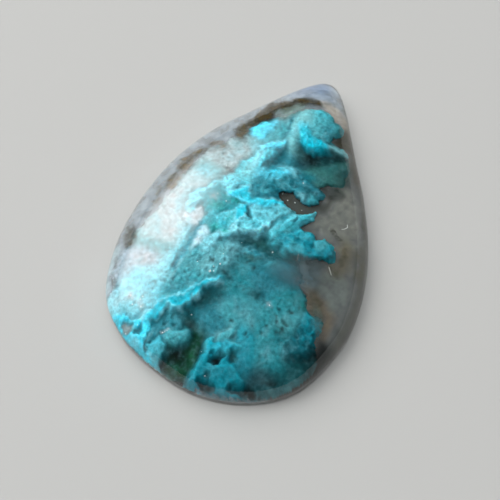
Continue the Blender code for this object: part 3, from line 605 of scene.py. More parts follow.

# soft changes of colour on the sheets, mostly the mineral's own; the dark ones under the head and under the
# ledge lip are painted shadow
STAINS_AND_SHADE: tuple[Stain, ...] = (
    # the head and neck
    Stain(P.SURF, 0.7, (1, 106), (5, 12)),
    Stain(P.MOSS, 0.6, (29, 109), (3.5, 6)),
    Stain(P.SEA, 0.6, (23, 104), (6, 8)),
    Stain(P.SHALLOW, 0.5, (12, 114), (6, 6)),
    Stain(P.SEA, 0.5, (23, 95), (3.5, 6)),
    Stain(P.CYAN, 0.5, (2, 92), (3, 5)),
    Stain(P.POWDER, 0.6, (-3, 87), (3, 8)),
    Stain(P.TURQUOISE, 0.9, (15, 81.5), (9, 3.5), 20),
    Stain(P.ASH, 0.8, (-17, 97), (8, 5), 30),
    Stain(P.MIST, 0.4, (-19, 86), (5, 8)),
    Stain(P.TEAL, 0.6, (-16, 72), (5, 4), 20),
    Stain(P.TEAL, 0.6, (-11, 82), (5, 9), 10),
    # painted shadow under the head, on the next four
    Stain(P.FJORD, 0.6, (34, 83), (7, 3.5), 20),
    Stain(P.SLATE, 0.6, (15, 56), (5, 5)),
    Stain(P.SLATE, 0.5, (50, 68), (5, 9)),
    Stain(P.FJORD, 0.4, (39, 68), (9, 5), 20),
    Stain(P.FOAM, 0.7, (-21, 46), (4, 15)),
    Stain(P.SURF, 0.6, (-25, 33), (6, 9)),
    Stain(P.CYAN, 0.4, (-16, 40), (2.5, 12)),
    # the shoulder
    Stain(P.CYAN, 0.7, (1, 42), (5, 3), 30),
    Stain(P.MIST, 0.6, (11, 46.5), (3.5, 2)),
    Stain(P.MARINE, 0.6, (24, 49), (8, 3.5)),
    Stain(P.DEEP, 0.6, (-9, 26), (4, 5)),
    Stain(P.MARINE, 0.5, (-3, 30), (5, 3.5)),
    Stain(P.MARINE, 0.5, (23, 45), (6, 3.5)),
    Stain(P.MIST, 0.7, (23, 41), (2, 2)),
    Stain(P.DEEP, 0.6, (14, 39), (5, 4)),
    Stain(P.STREAM, 0.5, (6, 32), (4, 5)),
    Stain(P.PINE, 0.5, (33, 36), (7, 4)),
    Stain(P.DEEP, 0.7, (4, 25), (6, 3)),
    Stain(P.STREAM, 0.6, (-4, 19), (6, 3), 10),
    # the heart
    Stain(P.ROSE, 0.6, (-40.5, -1), (3.5, 3.5)),
    Stain(P.DEEP, 0.35, (-44, -9), (4, 3)),
    Stain(P.GREEN, 0.45, (-34, -9), (8, 4.5)),
    Stain(P.GREEN, 0.5, (-23, 1.2), (9, 2)),
    Stain(P.GREEN, 0.45, (-20, -15), (3, 6)),
    Stain(P.MIST, 0.4, (-28, -3), (3, 2.5)),
    Stain(P.SHALLOW, 0.6, (-32, -17), (6, 4)),
    Stain(P.AQUA, 0.6, (-22, -14), (2.5, 9), -15),
    Stain(P.HARBOUR, 0.6, (4, -14), (3.5, 2.5)),
    Stain(P.MIST, 0.5, (2, -6), (3, 4)),
    Stain(P.STREAM, 0.5, (16, 7), (5, 5)),
    Stain(P.GREEN, 0.9, (-19, -28), (3, 2)),
    Stain(P.GREEN, 0.75, (-27.5, -28), (3.5, 4)),
    Stain(P.CYAN, 0.6, (-22, -23), (3, 2.5)),
    Stain(P.SHALLOW, 0.6, (-34, -52), (4, 3)),
    Stain(P.SHALLOW, 0.6, (-16, -33), (4, 3), 30),
    Stain(P.TURQUOISE, 0.8, (3, 12), (7, 3), 15),
    Stain(P.TURQUOISE, 0.6, (-19, 10), (4, 3)),
    Stain(P.TURQUOISE, 0.5, (-13.5, -7), (3, 5)),
    Stain(P.AQUA, 0.45, (-55, -8), (4, 9)),
    # the fingers
    Stain(P.AQUA, 0.6, (41.5, 19), (2.5, 3.5)),
    Stain(P.HARBOUR, 0.6, (34, 4), (3.5, 7), -35),
    Stain(P.DEEP, 0.5, (26, -18), (4, 3)),
    Stain(P.SHALLOW, 0.5, (44, -5), (6, 2.5)),
    Stain(P.MARINE, 0.5, (50, -12), (4, 5)),
    Stain(P.DUSK, 0.7, (69, -11), (4, 5.5)),
    Stain(P.PINE, 0.6, (60, -18), (7, 2.5)),
    # the flank
    Stain(P.POWDER, 0.6, (-48, -40), (4.5, 6)),
    Stain(P.ROSE, 0.3, (-66, -20), (9, 8)),
    Stain(P.SNOW, 0.6, (-63, -32), (12, 13)),
    Stain(P.SNOW, 0.5, (-67, -10), (6, 12)),
    Stain(P.ROSE, 0.4, (-69, -39), (9, 5)),
    Stain(P.PALE, 0.5, (-63, -8), (5, 12)),
    Stain(P.SAGE, 0.4, (-78, -44), (7, 8)),
    Stain(P.TEAL, 0.6, (-58, -61), (3.5, 3.5)),
    Stain(P.TEAL, 0.4, (-76, -59), (7, 3)),
    Stain(P.SAGE, 0.6, (-66, -58), (14, 3.5)),
    Stain(P.TEAL, 0.5, (-62, 23), (4, 3.5)),
    Stain(P.ROSE, 0.6, (-73, -75), (7, 5)),
    Stain(P.PALE, 0.5, (-66, -86), (9, 4)),
    Stain(P.SHALLOW, 0.5, (-70, -91), (5, 5)),
    Stain(P.ROSE, 0.8, (-69.5, -106.5), (3.5, 2.8)),
    Stain(P.ROSE, 0.7, (-57.5, -112), (2.2, 2.2)),
    Stain(P.ROSE, 0.5, (-61, -109), (3, 2)),
    Stain(P.MILK, 0.5, (-79, -112), (7, 6)),
    Stain(P.PALE, 0.6, (-68, -117), (8, 3.5)),
    Stain(P.UMBER, 0.5, (-59, -105), (1.4, 2)),
    Stain(P.UMBER, 0.4, (-54.5, -113), (1.4, 3)),
    Stain(P.UMBER, 0.8, (-39, 28), (4.5, 5.5), 40),
    Stain(P.MILK, 0.6, (-44.5, 33), (4, 3.5)),
    Stain(P.CHALK, 0.7, (-45, 42.5), (2.2, 2.2)),
    Stain(P.ASH, 0.5, (-49, 47), (7, 6)),
    Stain(P.MILK, 0.6, (-52, 62), (9, 6)),
    Stain(P.SAGE, 0.6, (-62, 30), (6, 4)),
    Stain(P.ROSE, 0.5, (-69, 30), (3, 3)),
    Stain(P.SAGE, 0.5, (-42, 56), (5, 3.5)),
    Stain(P.FERN, 0.3, (-32, 46), (3, 2)),
    Stain(P.ROSE, 0.5, (-33, 52), (4, 4)),
    Stain(P.ASH, 0.7, (-59, 44), (5, 6), 40),
    Stain(P.ASH, 0.6, (-42, 62), (7, 3.5), 40),
    Stain(P.ASH, 0.6, (-52, 36), (3.5, 5)),
    Stain(P.ASH, 0.5, (-75, -26), (3.5, 9)),
    Stain(P.SAGE, 0.5, (-72, 16), (3.5, 8)),
    Stain(P.POWDER, 0.7, (-57, 19), (8, 6), 30),
    Stain(P.AQUA, 0.6, (-59, -93), (7, 5)),
    Stain(P.TEAL, 0.35, (-59, -59), (9, 2.5)),
    # the crinkled ledge
    Stain(P.MIST, 0.5, (-30, -59), (8, 6)),
    Stain(P.SEA, 0.5, (-36, -76), (5, 6)),
    Stain(P.MIST, 0.6, (-26, -81), (4, 2), 20),
    Stain(P.SHALLOW, 0.6, (-25, -76), (4, 3)),
    Stain(P.SEA, 0.6, (-36, -90), (5, 4)),
    Stain(P.POWDER, 0.7, (-12, -52), (5, 4)),
    Stain(P.TURQUOISE, 0.6, (-29, -99), (4, 2.5), 30),
    Stain(P.CYAN, 0.6, (-26, -92), (4, 4)),
    Stain(P.TURQUOISE, 0.4, (-46, -112), (3, 4)),
    # the middle
    Stain(P.SLATE, 0.6, (43, -44), (9, 7)),
    Stain(P.SLATE, 0.4, (52, -46), (6, 4)),
    Stain(P.ABYSS, 0.7, (28, -70), (5, 4.5)),
    Stain(P.ABYSS, 0.5, (16, -49), (3, 3)),
    Stain(P.OLIVE, 0.4, (9, -42), (4, 2)),
    Stain(P.MIST, 0.6, (24, -87), (6, 6)),
    Stain(P.MIST, 0.4, (33, -94), (3, 6)),
    Stain(P.LILAC, 0.7, (39.5, -73), (2, 2.2)),
    Stain(P.MIST, 0.5, (56, -78), (3.5, 5)),
    Stain(P.MIST, 0.4, (60, -55), (3.5, 5)),
    Stain(P.FERN, 0.4, (65, -62), (3.5, 5), 40),
    Stain(P.MIST, 0.4, (46, -94), (3, 5)),
    Stain(P.ABYSS, 0.6, (58, -94), (4.5, 4)),
    Stain(P.ABYSS, 0.7, (71, -82), (3.5, 4.5)),
    Stain(P.ABYSS, 0.4, (74, -78), (5, 5)),
    Stain(P.STREAM, 0.4, (69, -72), (2.5, 3)),
    Stain(P.MIST, 0.5, (53, -108), (6, 6)),
    Stain(P.HARBOUR, 0.5, (35, -109), (4, 7)),
    Stain(P.ABYSS, 0.6, (25, -108), (3, 2.5)),
    Stain(P.STREAM, 0.4, (1, -101), (5, 2)),
    # painted shadow under the ledge lip, on the next two
    Stain(P.PINE, 0.75, (-9, -89), (5.5, 11), -25),
    Stain(P.PINE, 0.5, (-1, -82), (6, 10), -20),
    Stain(P.PINE, 0.5, (28, -71), (6, 5)),
    Stain(P.ABYSS, 0.4, (3, -56), (7, 6)),
    Stain(P.ABYSS, 0.4, (10, -69), (9, 4)),
    Stain(P.PINE, 0.4, (-2, -64), (7, 2.5)),
    Stain(P.SURF, 0.5, (-14, -49), (6, 6)),
    Stain(P.SURF, 0.25, (-21, -62), (5, 6)),
    Stain(P.SAGE, 0.4, (-33, -70), (6, 5)),
    Stain(P.REED, 0.25, (56, -62), (8, 7)),
    Stain(P.REED, 0.4, (12, -43), (8, 4)),
    Stain(P.REED, 0.4, (56, -84), (8, 8)),
    Stain(P.DUSK, 0.5, (56, -124), (10, 6)),
    Stain(P.SEA, 0.4, (36, -116), (4, 9)),
    Stain(P.MARINE, 0.35, (72, -92), (6, 4)),
    Stain(P.MARINE, 0.35, (40, -10), (6, 4)),
    Stain(P.BRIGHT, 0.3, (-70, -125), (6, 3)),
    Stain(P.POWDER, 0.4, (-65, -116), (8, 4)),
    Stain(P.DUSK, 0.4, (39, -126), (4, 5)),
    Stain(P.MIST, 0.5, (-6, -40), (6, 4)),
    # the foot
    Stain(P.PINE, 0.7, (-15, -109), (4, 5)),
    Stain(P.STREAM, 0.5, (-29, -110), (5, 4)),
    Stain(P.DEEP, 0.6, (-36, -113), (2.5, 5)),
    Stain(P.MARINE, 0.5, (12, -146), (6, 5)),
    Stain(P.HARBOUR, 0.6, (9, -130), (3, 5)),
    Stain(P.HARBOUR, 0.5, (26, -132), (5, 4)),
    Stain(P.TURQUOISE, 0.6, (-71, -128), (8, 4), -25),
    Stain(P.TURQUOISE, 0.5, (-46, -144), (10, 3.5), -20),
    Stain(P.BRIGHT, 0.5, (-50, -126), (4, 5)),
    Stain(P.POWDER, 0.7, (-52, -138), (6, 3), -20),
    Stain(P.POWDER, 0.5, (-66, -118), (8, 4)),
    Stain(P.STREAM, 0.4, (-69, -134), (4, 3)),
)

# colours laid on last in the hollows: mostly painted shade, with the green hollow's own moss and fern green
HOLLOW_SHADE_AND_MOSS: tuple[Stain, ...] = (
    Stain(P.FJORD, 0.7, (9, 67), (4, 6)),
    Stain(P.PINE, 0.6, (29, 66), (9, 3.5), 40),
    Stain(P.PINE, 0.6, (40, 83), (5, 3), 20),
    Stain(P.DUSK, 0.5, (13, 58), (5, 4)),
    Stain(P.FJORD, 0.6, (30, 73), (9, 2.5), 35),
    Stain(P.INK, 0.6, (21, 66), (5, 4)),
    Stain(P.REED, 0.45, (14, -28), (7, 4)),
    Stain(P.INK, 0.5, (4.5, -32), (3, 2.5)),
    Stain(P.INK, 0.4, (23, -34), (4, 2.5)),
    Stain(P.INK, 0.5, (24, -25), (5, 1.5)),
    Stain(P.DEEP, 0.6, (-5, -27), (5, 3.5), 20),
    Stain(P.INK, 0.8, (-11, -112), (4, 5), -30),
    Stain(P.INK, 0.95, (-13, -136), (9, 9)),
    Stain(P.INK, 0.9, (-22, -146), (8, 6)),
    Stain(P.INK, 0.6, (-2, -153), (9, 4)),
    Stain(P.INK, 0.6, (3, -129), (3, 5)),
    Stain(P.MOSS, 0.6, (-23, -134), (4, 4)),
    Stain(P.FERN, 0.7, (-1, -133), (2.5, 5)),
    Stain(P.MOSS, 0.8, (-3, -121), (5, 5)),
    Stain(P.FERN, 0.6, (2, -139), (2.5, 6)),
    Stain(P.FERN, 0.5, (-10, -145), (7, 3)),
    Stain(P.PITCH, 0.8, (-36, -149.5), (5, 2)),
    Stain(P.PITCH, 0.7, (66, -127), (5, 2), 20),
    Stain(P.PITCH, 0.6, (62, -129), (5, 2)),
    Stain(P.PITCH, 0.8, (88, -92), (6, 9)),
    Stain(P.PITCH, 0.6, (90, -106), (5, 7)),
)

# olive and black pits
PITS: tuple[Pit, ...] = (
    Pit((58, -71), 0.2, 0.1), Pit((55, -82), 0.16, 0.12), Pit((59, -82), 0.13, 0.1),
    Pit((57, -87), 0.15, 0.1), Pit((50, -83), 0.16, 0.12), Pit((53, -91), 0.14, 0.1),
    Pit((44, -90), 0.12, 0.08), Pit((44, -96), 0.12, 0.08), Pit((34, -94), 0.12, 0.08),
    Pit((17, -97), 0.12, 0.08), Pit((31, -103), 0.15, 0.1), Pit((48, -73), 0.1, 0.06),
    Pit((62, -65), 0.1, 0.06), Pit((-17.5, -56.5), 0.2, 0.16), Pit((-29, -75), 0.1, 0.06),
    Pit((-40, -83), 0.13, 0.08), Pit((10, -46), 0.1, 0.06), Pit((5, -41), 0.08, 0.05),
    Pit((-30, -62), 0.12, 0.08), Pit((8, -98), 0.08, 0.05), Pit((34, -104), 0.1, 0.06),
    Pit((16, -49.5), 0.12, 0.08), Pit((49, -80), 0.1, 0.06), Pit((56, -90), 0.1, 0.06),
)

# milky clouds round the growth; some dark wisps are painted shadow
CLOUDS_AND_SHADE: tuple[Wisp, ...] = (
    Wisp((0.4, 0.46, 0.52), 0.55, 0.5, (
        (5, 156), (-27, 132), (-53, 100), (-79, 66), (-96, 27), (-104, -20), (-104, -66), (-93, -108),
        (-68, -134), (-34, -148), (10, -155), (54, -145), (86, -120), (104, -76), (106, -34), (95, 13),
        (75, 58), (50, 99), (29, 134))),
    Wisp((0.125, 0.12, 0.105), 0.8, 0.7, (
        (30, 96), (44, 96), (56, 76), (70, 54), (86, 22), (97, -10), (99, -40), (96, -76), (86, -104),
        (60, -80), (30, -44), (6, -24), (4, 16), (6, 44), (34, 54), (46, 74))),
    Wisp((0.235, 0.235, 0.21), 0.74, 0.6, (
        (50, 56), (65, 52), (76, 34), (81, 12), (76, -4), (66, 6), (52, 7), (44, 12), (50, 24), (52, 36))),
    Wisp((0.16, 0.135, 0.085), 0.7, 0.5, ((70, 8), (82, 6), (85, -14), (80, -26), (72, -22), (74, -8))),
    Wisp((0.19, 0.215, 0.205), 0.7, 0.6, (
        (46, -34), (65, -28), (80, -22), (90, -26), (94, -42), (86, -56), (74, -49), (60, -44), (48, -46))),
    Wisp((0.19, 0.145, 0.1), 0.8, 0.4, (
        (58, -45), (68, -45), (80, -50), (90, -58), (91, -76), (86, -76), (80, -64), (68, -62), (62, -52)),
        0.3),
    # painted shade along the stone's right border
    Wisp((0.062, 0.064, 0.054), 1.0, 0.5, (
        (46, 114), (72, 76), (86, 52), (102, 18), (111, -16), (114, -50), (111, -80), (100, -114),
        (86, -128), (72, -138), (66, -134), (86, -116), (92, -94), (96, -66), (97, -36), (92, -6), (86, 16),
        (77, 36), (66, 56), (48, 82)), 0.1),
    # painted shadow right of the growth's right shoulder
    Wisp((0.01, 0.012, 0.012), 1.0, 0.8, (
        (84, -81), (92, -78), (102, -84), (100, -104), (92, -118), (80, -130), (70, -136), (82, -116),
        (84, -94)), 0.15),
    Wisp((0.012, 0.016, 0.013), 0.95, 0.3, (
        (-30, -147), (-14, -150), (8, -152), (10, -162), (-15, -160), (-36, -153)), 0.1),
    Wisp((0.45, 0.6, 0.66), 0.7, 0.5, (
        (-103, -69), (-96, -70), (-95, -94), (-88, -109), (-79, -122), (-94, -116), (-104, -90))),
    # painted shadow in the clear gap beside the fingers
    Wisp((0.05, 0.05, 0.042), 0.8, 0.3, (
        (6, 24), (22, 30), (44, 31), (46, 40), (50, 40), (49, 26), (44, 22), (36, 10), (16, 11))),
    # painted shadow below the second finger
    Wisp((0.035, 0.042, 0.042), 0.85, 0.45, (
        (32, -22), (50, -20), (66, -19), (64, -30), (52, -35), (42, -37), (34, -36))),
    Wisp((0.012, 0.018, 0.016), 0.9, 0.3, (
        (34, 49), (42, 53), (50, 53), (56, 50), (56, 45), (51, 40), (44, 39), (36, 42)), 0.5),
    # painted shade right of the head, along the stone's edge
    Wisp((0.042, 0.036, 0.02), 0.95, 0.4, (
        (32, 118), (43, 116), (56, 94), (67, 72), (58, 68), (52, 83), (46, 93), (28, 92), (30, 105)), 0.1),
    Wisp((0.26, 0.32, 0.42), 0.6, 0.6, (
        (-29, 129), (-16, 140), (-4, 151), (6, 150), (12, 139), (6, 130), (-6, 129), (-18, 124))),
    Wisp((0.13, 0.19, 0.31), 0.7, 0.5, (
        (-20, 137), (-10, 148), (0, 156), (4, 153), (6, 144), (-2, 138), (-12, 135))),
    Wisp((0.1, 0.1, 0.075), 0.8, 0.3, (
        (17, 152), (27, 144), (36, 129), (46, 112), (37, 113), (27, 122), (26, 130), (21, 139)), 0.2),
    Wisp((0.44, 0.37, 0.3), 0.7, 0.35, (
        (4, 128), (14, 132), (26, 129), (33, 120), (31, 115), (19, 116), (13, 122))),
    Wisp((0.62, 0.48, 0.36), 0.9, 0.2, ((-45, 70), (-40, 73), (-35, 71), (-37, 66), (-42, 65)), 0.1),
    Wisp((0.03, 0.032, 0.02), 0.85, 0.25, (
        (76, 46), (81, 45), (85, 34), (88, 25), (85, 22), (81, 30), (78, 37)), 0.6),
    Wisp((0.055, 0.05, 0.028), 0.8, 0.35, (
        (86, 14), (92, 10), (97, -4), (99, -18), (93, -19), (88, -6), (84, 4)), 0.6),
)

# clumps of olive and brown moss in the clear stone
CLUMPS: tuple[Wisp, ...] = (
    Wisp((0.075, 0.06, 0.03), 0.95, 0.2, ((-51, 78), (-45, 81), (-40, 73), (-43, 63), (-49, 65)), 0.4),
    Wisp((0.045, 0.034, 0.015), 1.0, 0.2, (
        (-47, 84), (-42, 92), (-39, 102), (-35, 114), (-29, 115), (-24, 109), (-25, 98), (-28, 91),
        (-34, 85), (-40, 79)), 0.4),
    Wisp((0.045, 0.034, 0.015), 1.0, 0.2, (
        (-29, 114), (-21, 119), (-13, 125), (-4, 128), (4, 129), (8, 124), (-2, 121), (-8, 116), (-12, 109),
        (-17, 103), (-22, 107)), 0.4),
    Wisp((0.1, 0.082, 0.052), 0.95, 0.22, (
        (-85, -6), (-87, 6), (-84, 18), (-86, 28), (-79, 34), (-75, 43), (-69, 50), (-63, 47), (-69, 36),
        (-71, 24), (-72, 16), (-75, 6), (-76, -4)), 0.9),
    Wisp((0.12, 0.09, 0.055), 0.8, 0.15, (
        (-67, 49), (-63, 54), (-56, 55), (-52, 51), (-55, 47), (-59, 50), (-63, 47)), 0.5),
    Wisp((0.12, 0.1, 0.075), 0.75, 0.2, (
        (-46, 29), (-42, 34), (-37, 37), (-34, 33), (-38, 28), (-42, 24)), 0.6),
    Wisp((0.14, 0.12, 0.09), 0.6, 0.2, (
        (-94, -2), (-88, -4), (-83, -12), (-82, -22), (-88, -22), (-89, -12)), 0.9),
    Wisp((0.065, 0.065, 0.05), 0.9, 0.22, (
        (-100, -49), (-93, -49), (-87, -58), (-86, -65), (-91, -68), (-97, -62), (-101, -56)), 0.7),
    Wisp((0.1, 0.1, 0.08), 0.7, 0.2, ((-97, -76), (-92, -82), (-92, -88), (-96, -86)), 0.7),
    Wisp((0.1, 0.1, 0.08), 0.7, 0.2, ((-94, -92), (-88, -98), (-87, -104), (-91, -102)), 0.7),
    Wisp((0.045, 0.045, 0.03), 0.9, 0.12, ((59, 12.5), (63, 11.5), (71, 7.5), (70, 4.5), (62, 7.5)), 1.0),
    Wisp((0.07, 0.06, 0.035), 0.7, 0.2, ((77, 2), (80, -2), (81.5, -10), (79, -19), (77, -10)), 1.0),
    Wisp((0.08, 0.075, 0.045), 0.55, 0.3, ((67, -19), (73, -17), (82, -23), (81, -28), (73, -26)), 1.0),
    Wisp((0.08, 0.075, 0.045), 0.6, 0.3, ((67, -49), (76, -49), (80, -56), (75, -63), (69, -61)), 1.0),
    Wisp((0.03, 0.035, 0.025), 0.8, 0.12, ((72, -62.5), (80, -62), (81, -65), (74, -66)), 0.8),
)

# soft haze over the growth's own edges; one dark wisp is painted shadow
HAZE_AND_SHADE: tuple[Wisp, ...] = (
    Wisp((0.055, 0.16, 0.15), 0.4, 0.3, (
        (74, -62), (81, -61), (86, -67), (86, -74), (82, -72), (76, -68)), 0.5),
    Wisp((0.055, 0.135, 0.165), 0.55, 0.8, (
        (32, -37), (48, -34), (62, -34), (66, -42), (60, -49), (52, -53), (40, -52), (30, -46)), 0.2),
    # painted shadow below the second finger
    Wisp((0.028, 0.04, 0.04), 0.82, 0.4, (
        (36, -26), (46, -25), (60, -23), (66, -27), (60, -34), (48, -36), (38, -34)), 0.3),
    Wisp((0.085, 0.11, 0.12), 0.8, 0.7, (
        (49, -29), (60, -25), (69, -32), (68, -44), (62, -50), (53, -48), (48, -38)), 0.4),
    Wisp((0.035, 0.085, 0.08), 0.6, 0.45, (
        (45, 80), (53, 78), (59, 64), (56, 52), (48, 52), (46, 64)), 0.4),
    Wisp((0.2, 0.3, 0.28), 0.55, 0.45, (
        (-25, 102), (-15, 110), (-8, 117), (-2, 113), (-10, 102), (-18, 95)), 0.3),
    Wisp((0.1, 0.1, 0.085), 0.55, 0.35, (
        (63, -46), (72, -54), (82, -62), (89, -72), (88, -84), (83, -74), (74, -65), (67, -60)), 0.5),
)

# quartz grains on the growth, whose near-white colour is partly painted glint
GLINTS: tuple[Glint, ...] = (
    Glint((-15, -67), 0.24), Glint((-12.5, -65.5), 0.12), Glint((-10, -58), 0.15), Glint((-14, -62), 0.1),
    Glint((-38, 1), 0.12), Glint((-28.5, -3), 0.12), Glint((40, -73), 0.16), Glint((-15, -103), 0.1),
    Glint((-69, -106), 0.2), Glint((-60, -107), 0.16), Glint((-57, -112), 0.18), Glint((-65, -112), 0.12),
    Glint((-31.5, -124.5), 0.12), Glint((-30, -123.5), 0.1), Glint((-28.5, -122.5), 0.09),
    Glint((-54, -127), 0.1), Glint((-62, -133.5), 0.12), Glint((23, 40.5), 0.14), Glint((-43, 32), 0.14),
    Glint((-28, -63), 0.08), Glint((-2, -32), 0.07), Glint((-11, -49), 0.1), Glint((-59, -104), 0.1),
    Glint((14, -143), 0.1), Glint((4, -126), 0.09), Glint((17, 20), 0.14), Glint((23.5, 20.5), 0.12),
    Glint((65, 39), 0.14), Glint((24, -29), 0.12), Glint((58, -145), 0.14), Glint((11.5, 23), 0.08),
    Glint((31, 17), 0.08),
)

# pale threads in the clear stone
THREADS: tuple[Thread, ...] = (
    Thread(0.97, ((70.5, 14.5), (72.5, 16.5), (74.2, 19.5), (73, 22))),
    Thread(0.8, ((72, -22), (74, -24.5), (76.5, -27.5))),
    Thread(0.8, ((45.5, -24), (46, -26.5), (46.5, -29.5))),
)

# where the whole growth ends
GROWTH_EDGE: Points = (
    (6, 120), (13, 122), (19, 120), (22, 115), (28, 116), (33, 113), (32, 104), (29, 99), (28, 94),
    (34, 93), (43, 93), (49, 84), (53, 74), (53, 64), (54, 57), (49, 52), (42, 49.5), (37.5, 46),
    (40.5, 42), (45, 39), (42, 33), (41, 28), (37, 24.5), (31, 22), (22, 26), (14, 27), (8, 22), (14, 17),
    (22, 13), (34, 13), (42, 22), (43, 12), (36, -1), (48, 1), (53, -4), (59, 2), (71, -6), (72, -16),
    (63, -19), (57, -22), (50, -26), (51, -30), (57, -33), (55, -37), (59, -42), (56, -46), (60, -50),
    (64, -51), (66, -56), (69, -62), (74, -63), (80, -62), (85.5, -66), (86, -73), (84, -81), (87.5, -88),
    (92, -95), (93, -104), (85, -120), (71, -135), (54, -145), (32, -152), (10, -155), (-14, -154),
    (-34, -149), (-54, -143), (-72, -132), (-86, -122), (-92, -114), (-88, -106), (-90, -98), (-95, -90),
    (-96, -80), (-94, -70), (-89, -63), (-92, -54), (-88, -46), (-85, -36), (-81, -28), (-81, -18),
    (-78, -6), (-78, 4), (-74, 16), (-72, 28), (-68, 38), (-65, 47), (-56, 53), (-52, 62), (-44, 68),
    (-39, 80), (-32, 90), (-24, 96), (-18, 100), (-12, 103), (-8, 109), (-3, 114),
)


def drawn(points: Points | Place) -> np.ndarray:
    """Return drawn points, or one place, in mm."""
    return np.asarray(points) / TENTHS


def closed_spline(points: np.ndarray | Points, steps: int) -> np.ndarray:
    """Draw a smooth closed curve through points.

    Args:
        points: the corners, in mm.
        steps: samples for each corner.

    Returns:
        The samples, one row each.
    """
    here = np.asarray(points, float)
    before, after, beyond = np.roll(here, 1, 0), np.roll(here, -1, 0), np.roll(here, -2, 0)
    samples = [
        0.5 * (2 * here + (after - before) * t
               + (2 * before - 5 * here + 4 * after - beyond) * t ** 2
               + (3 * here - before - 3 * after + beyond) * t ** 3)
        for t in np.arange(steps) / steps
    ]
    return np.stack(samples, axis=1).reshape(-1, 2)


def gap_squared(x: np.ndarray, y: np.ndarray, start: Place, end: Place) -> np.ndarray:
    """Measure from points to a short straight line.

    Args:
        x: the points' X values.
        y: their Y values, in the same shape.
        start: one end of the line.
        end: its other end.

    Returns:
        The squared distances.
    """
    run_x, run_y = end[0] - start[0], end[1] - start[1]
    along = ((x - start[0]) * run_x + (y - start[1]) * run_y) / max(run_x ** 2 + run_y ** 2, TINY)
    along = np.clip(along, 0, 1)
    return (x - start[0] - along * run_x) ** 2 + (y - start[1] - along * run_y) ** 2


def depth_inside(outline: np.ndarray, x: np.ndarray, y: np.ndarray) -> np.ndarray:
    """Measure how far points lie inside a closed outline.

    Args:
        outline: the outline's samples.
        x: the points' X values.
        y: their Y values, in the same shape.

    Returns:
        The distance to the outline, negative outside it.
    """
    nearest = np.full(x.shape, np.inf)
    inside = np.zeros(x.shape, bool)
    for start, end in zip(outline, np.roll(outline, -1, 0)):
        nearest = np.minimum(nearest, gap_squared(x, y, start, end))
        if end[1] != start[1]:
            crosses = (start[1] > y) != (end[1] > y)
            inside ^= crosses & (x < start[0] + (y - start[1]) * (end[0] - start[0]) / (end[1] - start[1]))
    return np.where(inside, 1.0, -1.0) * np.sqrt(nearest)


def smooth_step(low: float, high: float, value: np.ndarray) -> np.ndarray:
    """Return 0 below `low`, 1 above `high` and an even slope between them."""
    share = np.clip((value - low) / (high - low), 0, 1)
    return share * share * (3 - 2 * share)


def thin_lines(noise: np.ndarray, width: float) -> np.ndarray:
    """Return thin winding lines, 1 where the noise crosses nought."""
    return np.clip(1 - np.abs(noise) / width, 0, 1)


@dataclass(frozen=True)
class Ripple:
    """Seeded gradient noise in the plane.

    Attributes:
        seed: picks the pattern.
        size: distance between its bumps, in mm.
        cells: how many of them there are before it repeats.
        offset: keeps the start of the pattern off the stone.
        gain: brings the values to about -1 to 1.
        sharpness: how narrow the crests of its folds are.
    """

    seed: int
    size: float
    cells: ClassVar[int] = 128
    offset: ClassVar[Place] = (61.3, 57.9)
    gain: ClassVar[float] = 1.5
    sharpness: ClassVar[float] = 1.6

    def at(self, x: np.ndarray, y: np.ndarray) -> np.ndarray:
        """Read the noise.

        Args:
            x: X values in mm.
            y: Y values in mm.

        Returns:
            Values from about -1 to 1.
        """
        turn = np.random.default_rng(self.seed).uniform(0, 2 * np.pi, (self.cells, self.cells))
        u, v = x / self.size + self.offset[0], y / self.size + self.offset[1]
        column, row = np.floor(u).astype(int), np.floor(v).astype(int)
        across, up = u - column, v - row

        def corner(i: int, j: int) -> np.ndarray:
            """Return one lattice corner's share of the noise."""
            angle = turn[(row + j) % self.cells, (column + i) % self.cells]
            return np.cos(angle) * (across - i) + np.sin(angle) * (up - j)

        ease_x = across ** 3 * (across * (across * 6 - 15) + 10)
        ease_y = up ** 3 * (up * (up * 6 - 15) + 10)
        low = corner(0, 0) * (1 - ease_x) + corner(1, 0) * ease_x
        high = corner(0, 1) * (1 - ease_x) + corner(1, 1) * ease_x
        return (low * (1 - ease_y) + high * ease_y) * self.gain

    def layered(self, x: np.ndarray, y: np.ndarray, octaves: int) -> np.ndarray:
        """Return the noise with finer octaves added, each half as strong."""
        return self._mixed(x, y, octaves, lambda noise: noise)

    def ridged(self, x: np.ndarray, y: np.ndarray, octaves: int) -> np.ndarray:
        """Return sharp-crested folds, 0 in the valleys to 1 on the crests."""
        folds = self._mixed(x, y, octaves, lambda noise: 1 - np.abs(noise) * self.sharpness)
        return np.clip(folds, 0, 1)

    def _mixed(self, x: np.ndarray, y: np.ndarray, octaves: int,
               shaped: Callable[[np.ndarray], np.ndarray]) -> np.ndarray:
        """Average octaves of the noise.

        Args:
            x: X values in mm.
            y: Y values in mm.
            octaves: how many; each is half as large and as strong as the one before.
            shaped: what is done to each octave first.

        Returns:
            The weighted mean.
        """
        total, weight = np.zeros(x.shape), 0.0
        for octave in range(octaves):
            finer = Ripple(self.seed + octave, self.size / 2 ** octave)
            total = total + shaped(finer.at(x, y)) / 2 ** octave
            weight += 1 / 2 ** octave
        return total / weight


def blurred(grid: np.ndarray, cells: float) -> np.ndarray:
    """Blur a grid.

    Args:
        grid: the grid, with or without a third axis.
        cells: the blur's spread, in cells.

    Returns:
        The blurred grid.
    """
    reach = int(BLUR_REACH * cells)
    kernel = np.exp(-0.5 * (np.arange(-reach, reach + 1) / cells) ** 2)
    kernel /= kernel.sum()
    for axis in (0, 1):
        padding = [(reach, reach) if a == axis else (0, 0) for a in range(grid.ndim)]
        padded = np.pad(grid, padding, mode="edge")
        length = grid.shape[axis]
        grid = sum(
            weight * np.take(padded, range(start, start + length), axis=axis)
            for start, weight in enumerate(kernel)
        )
    return grid


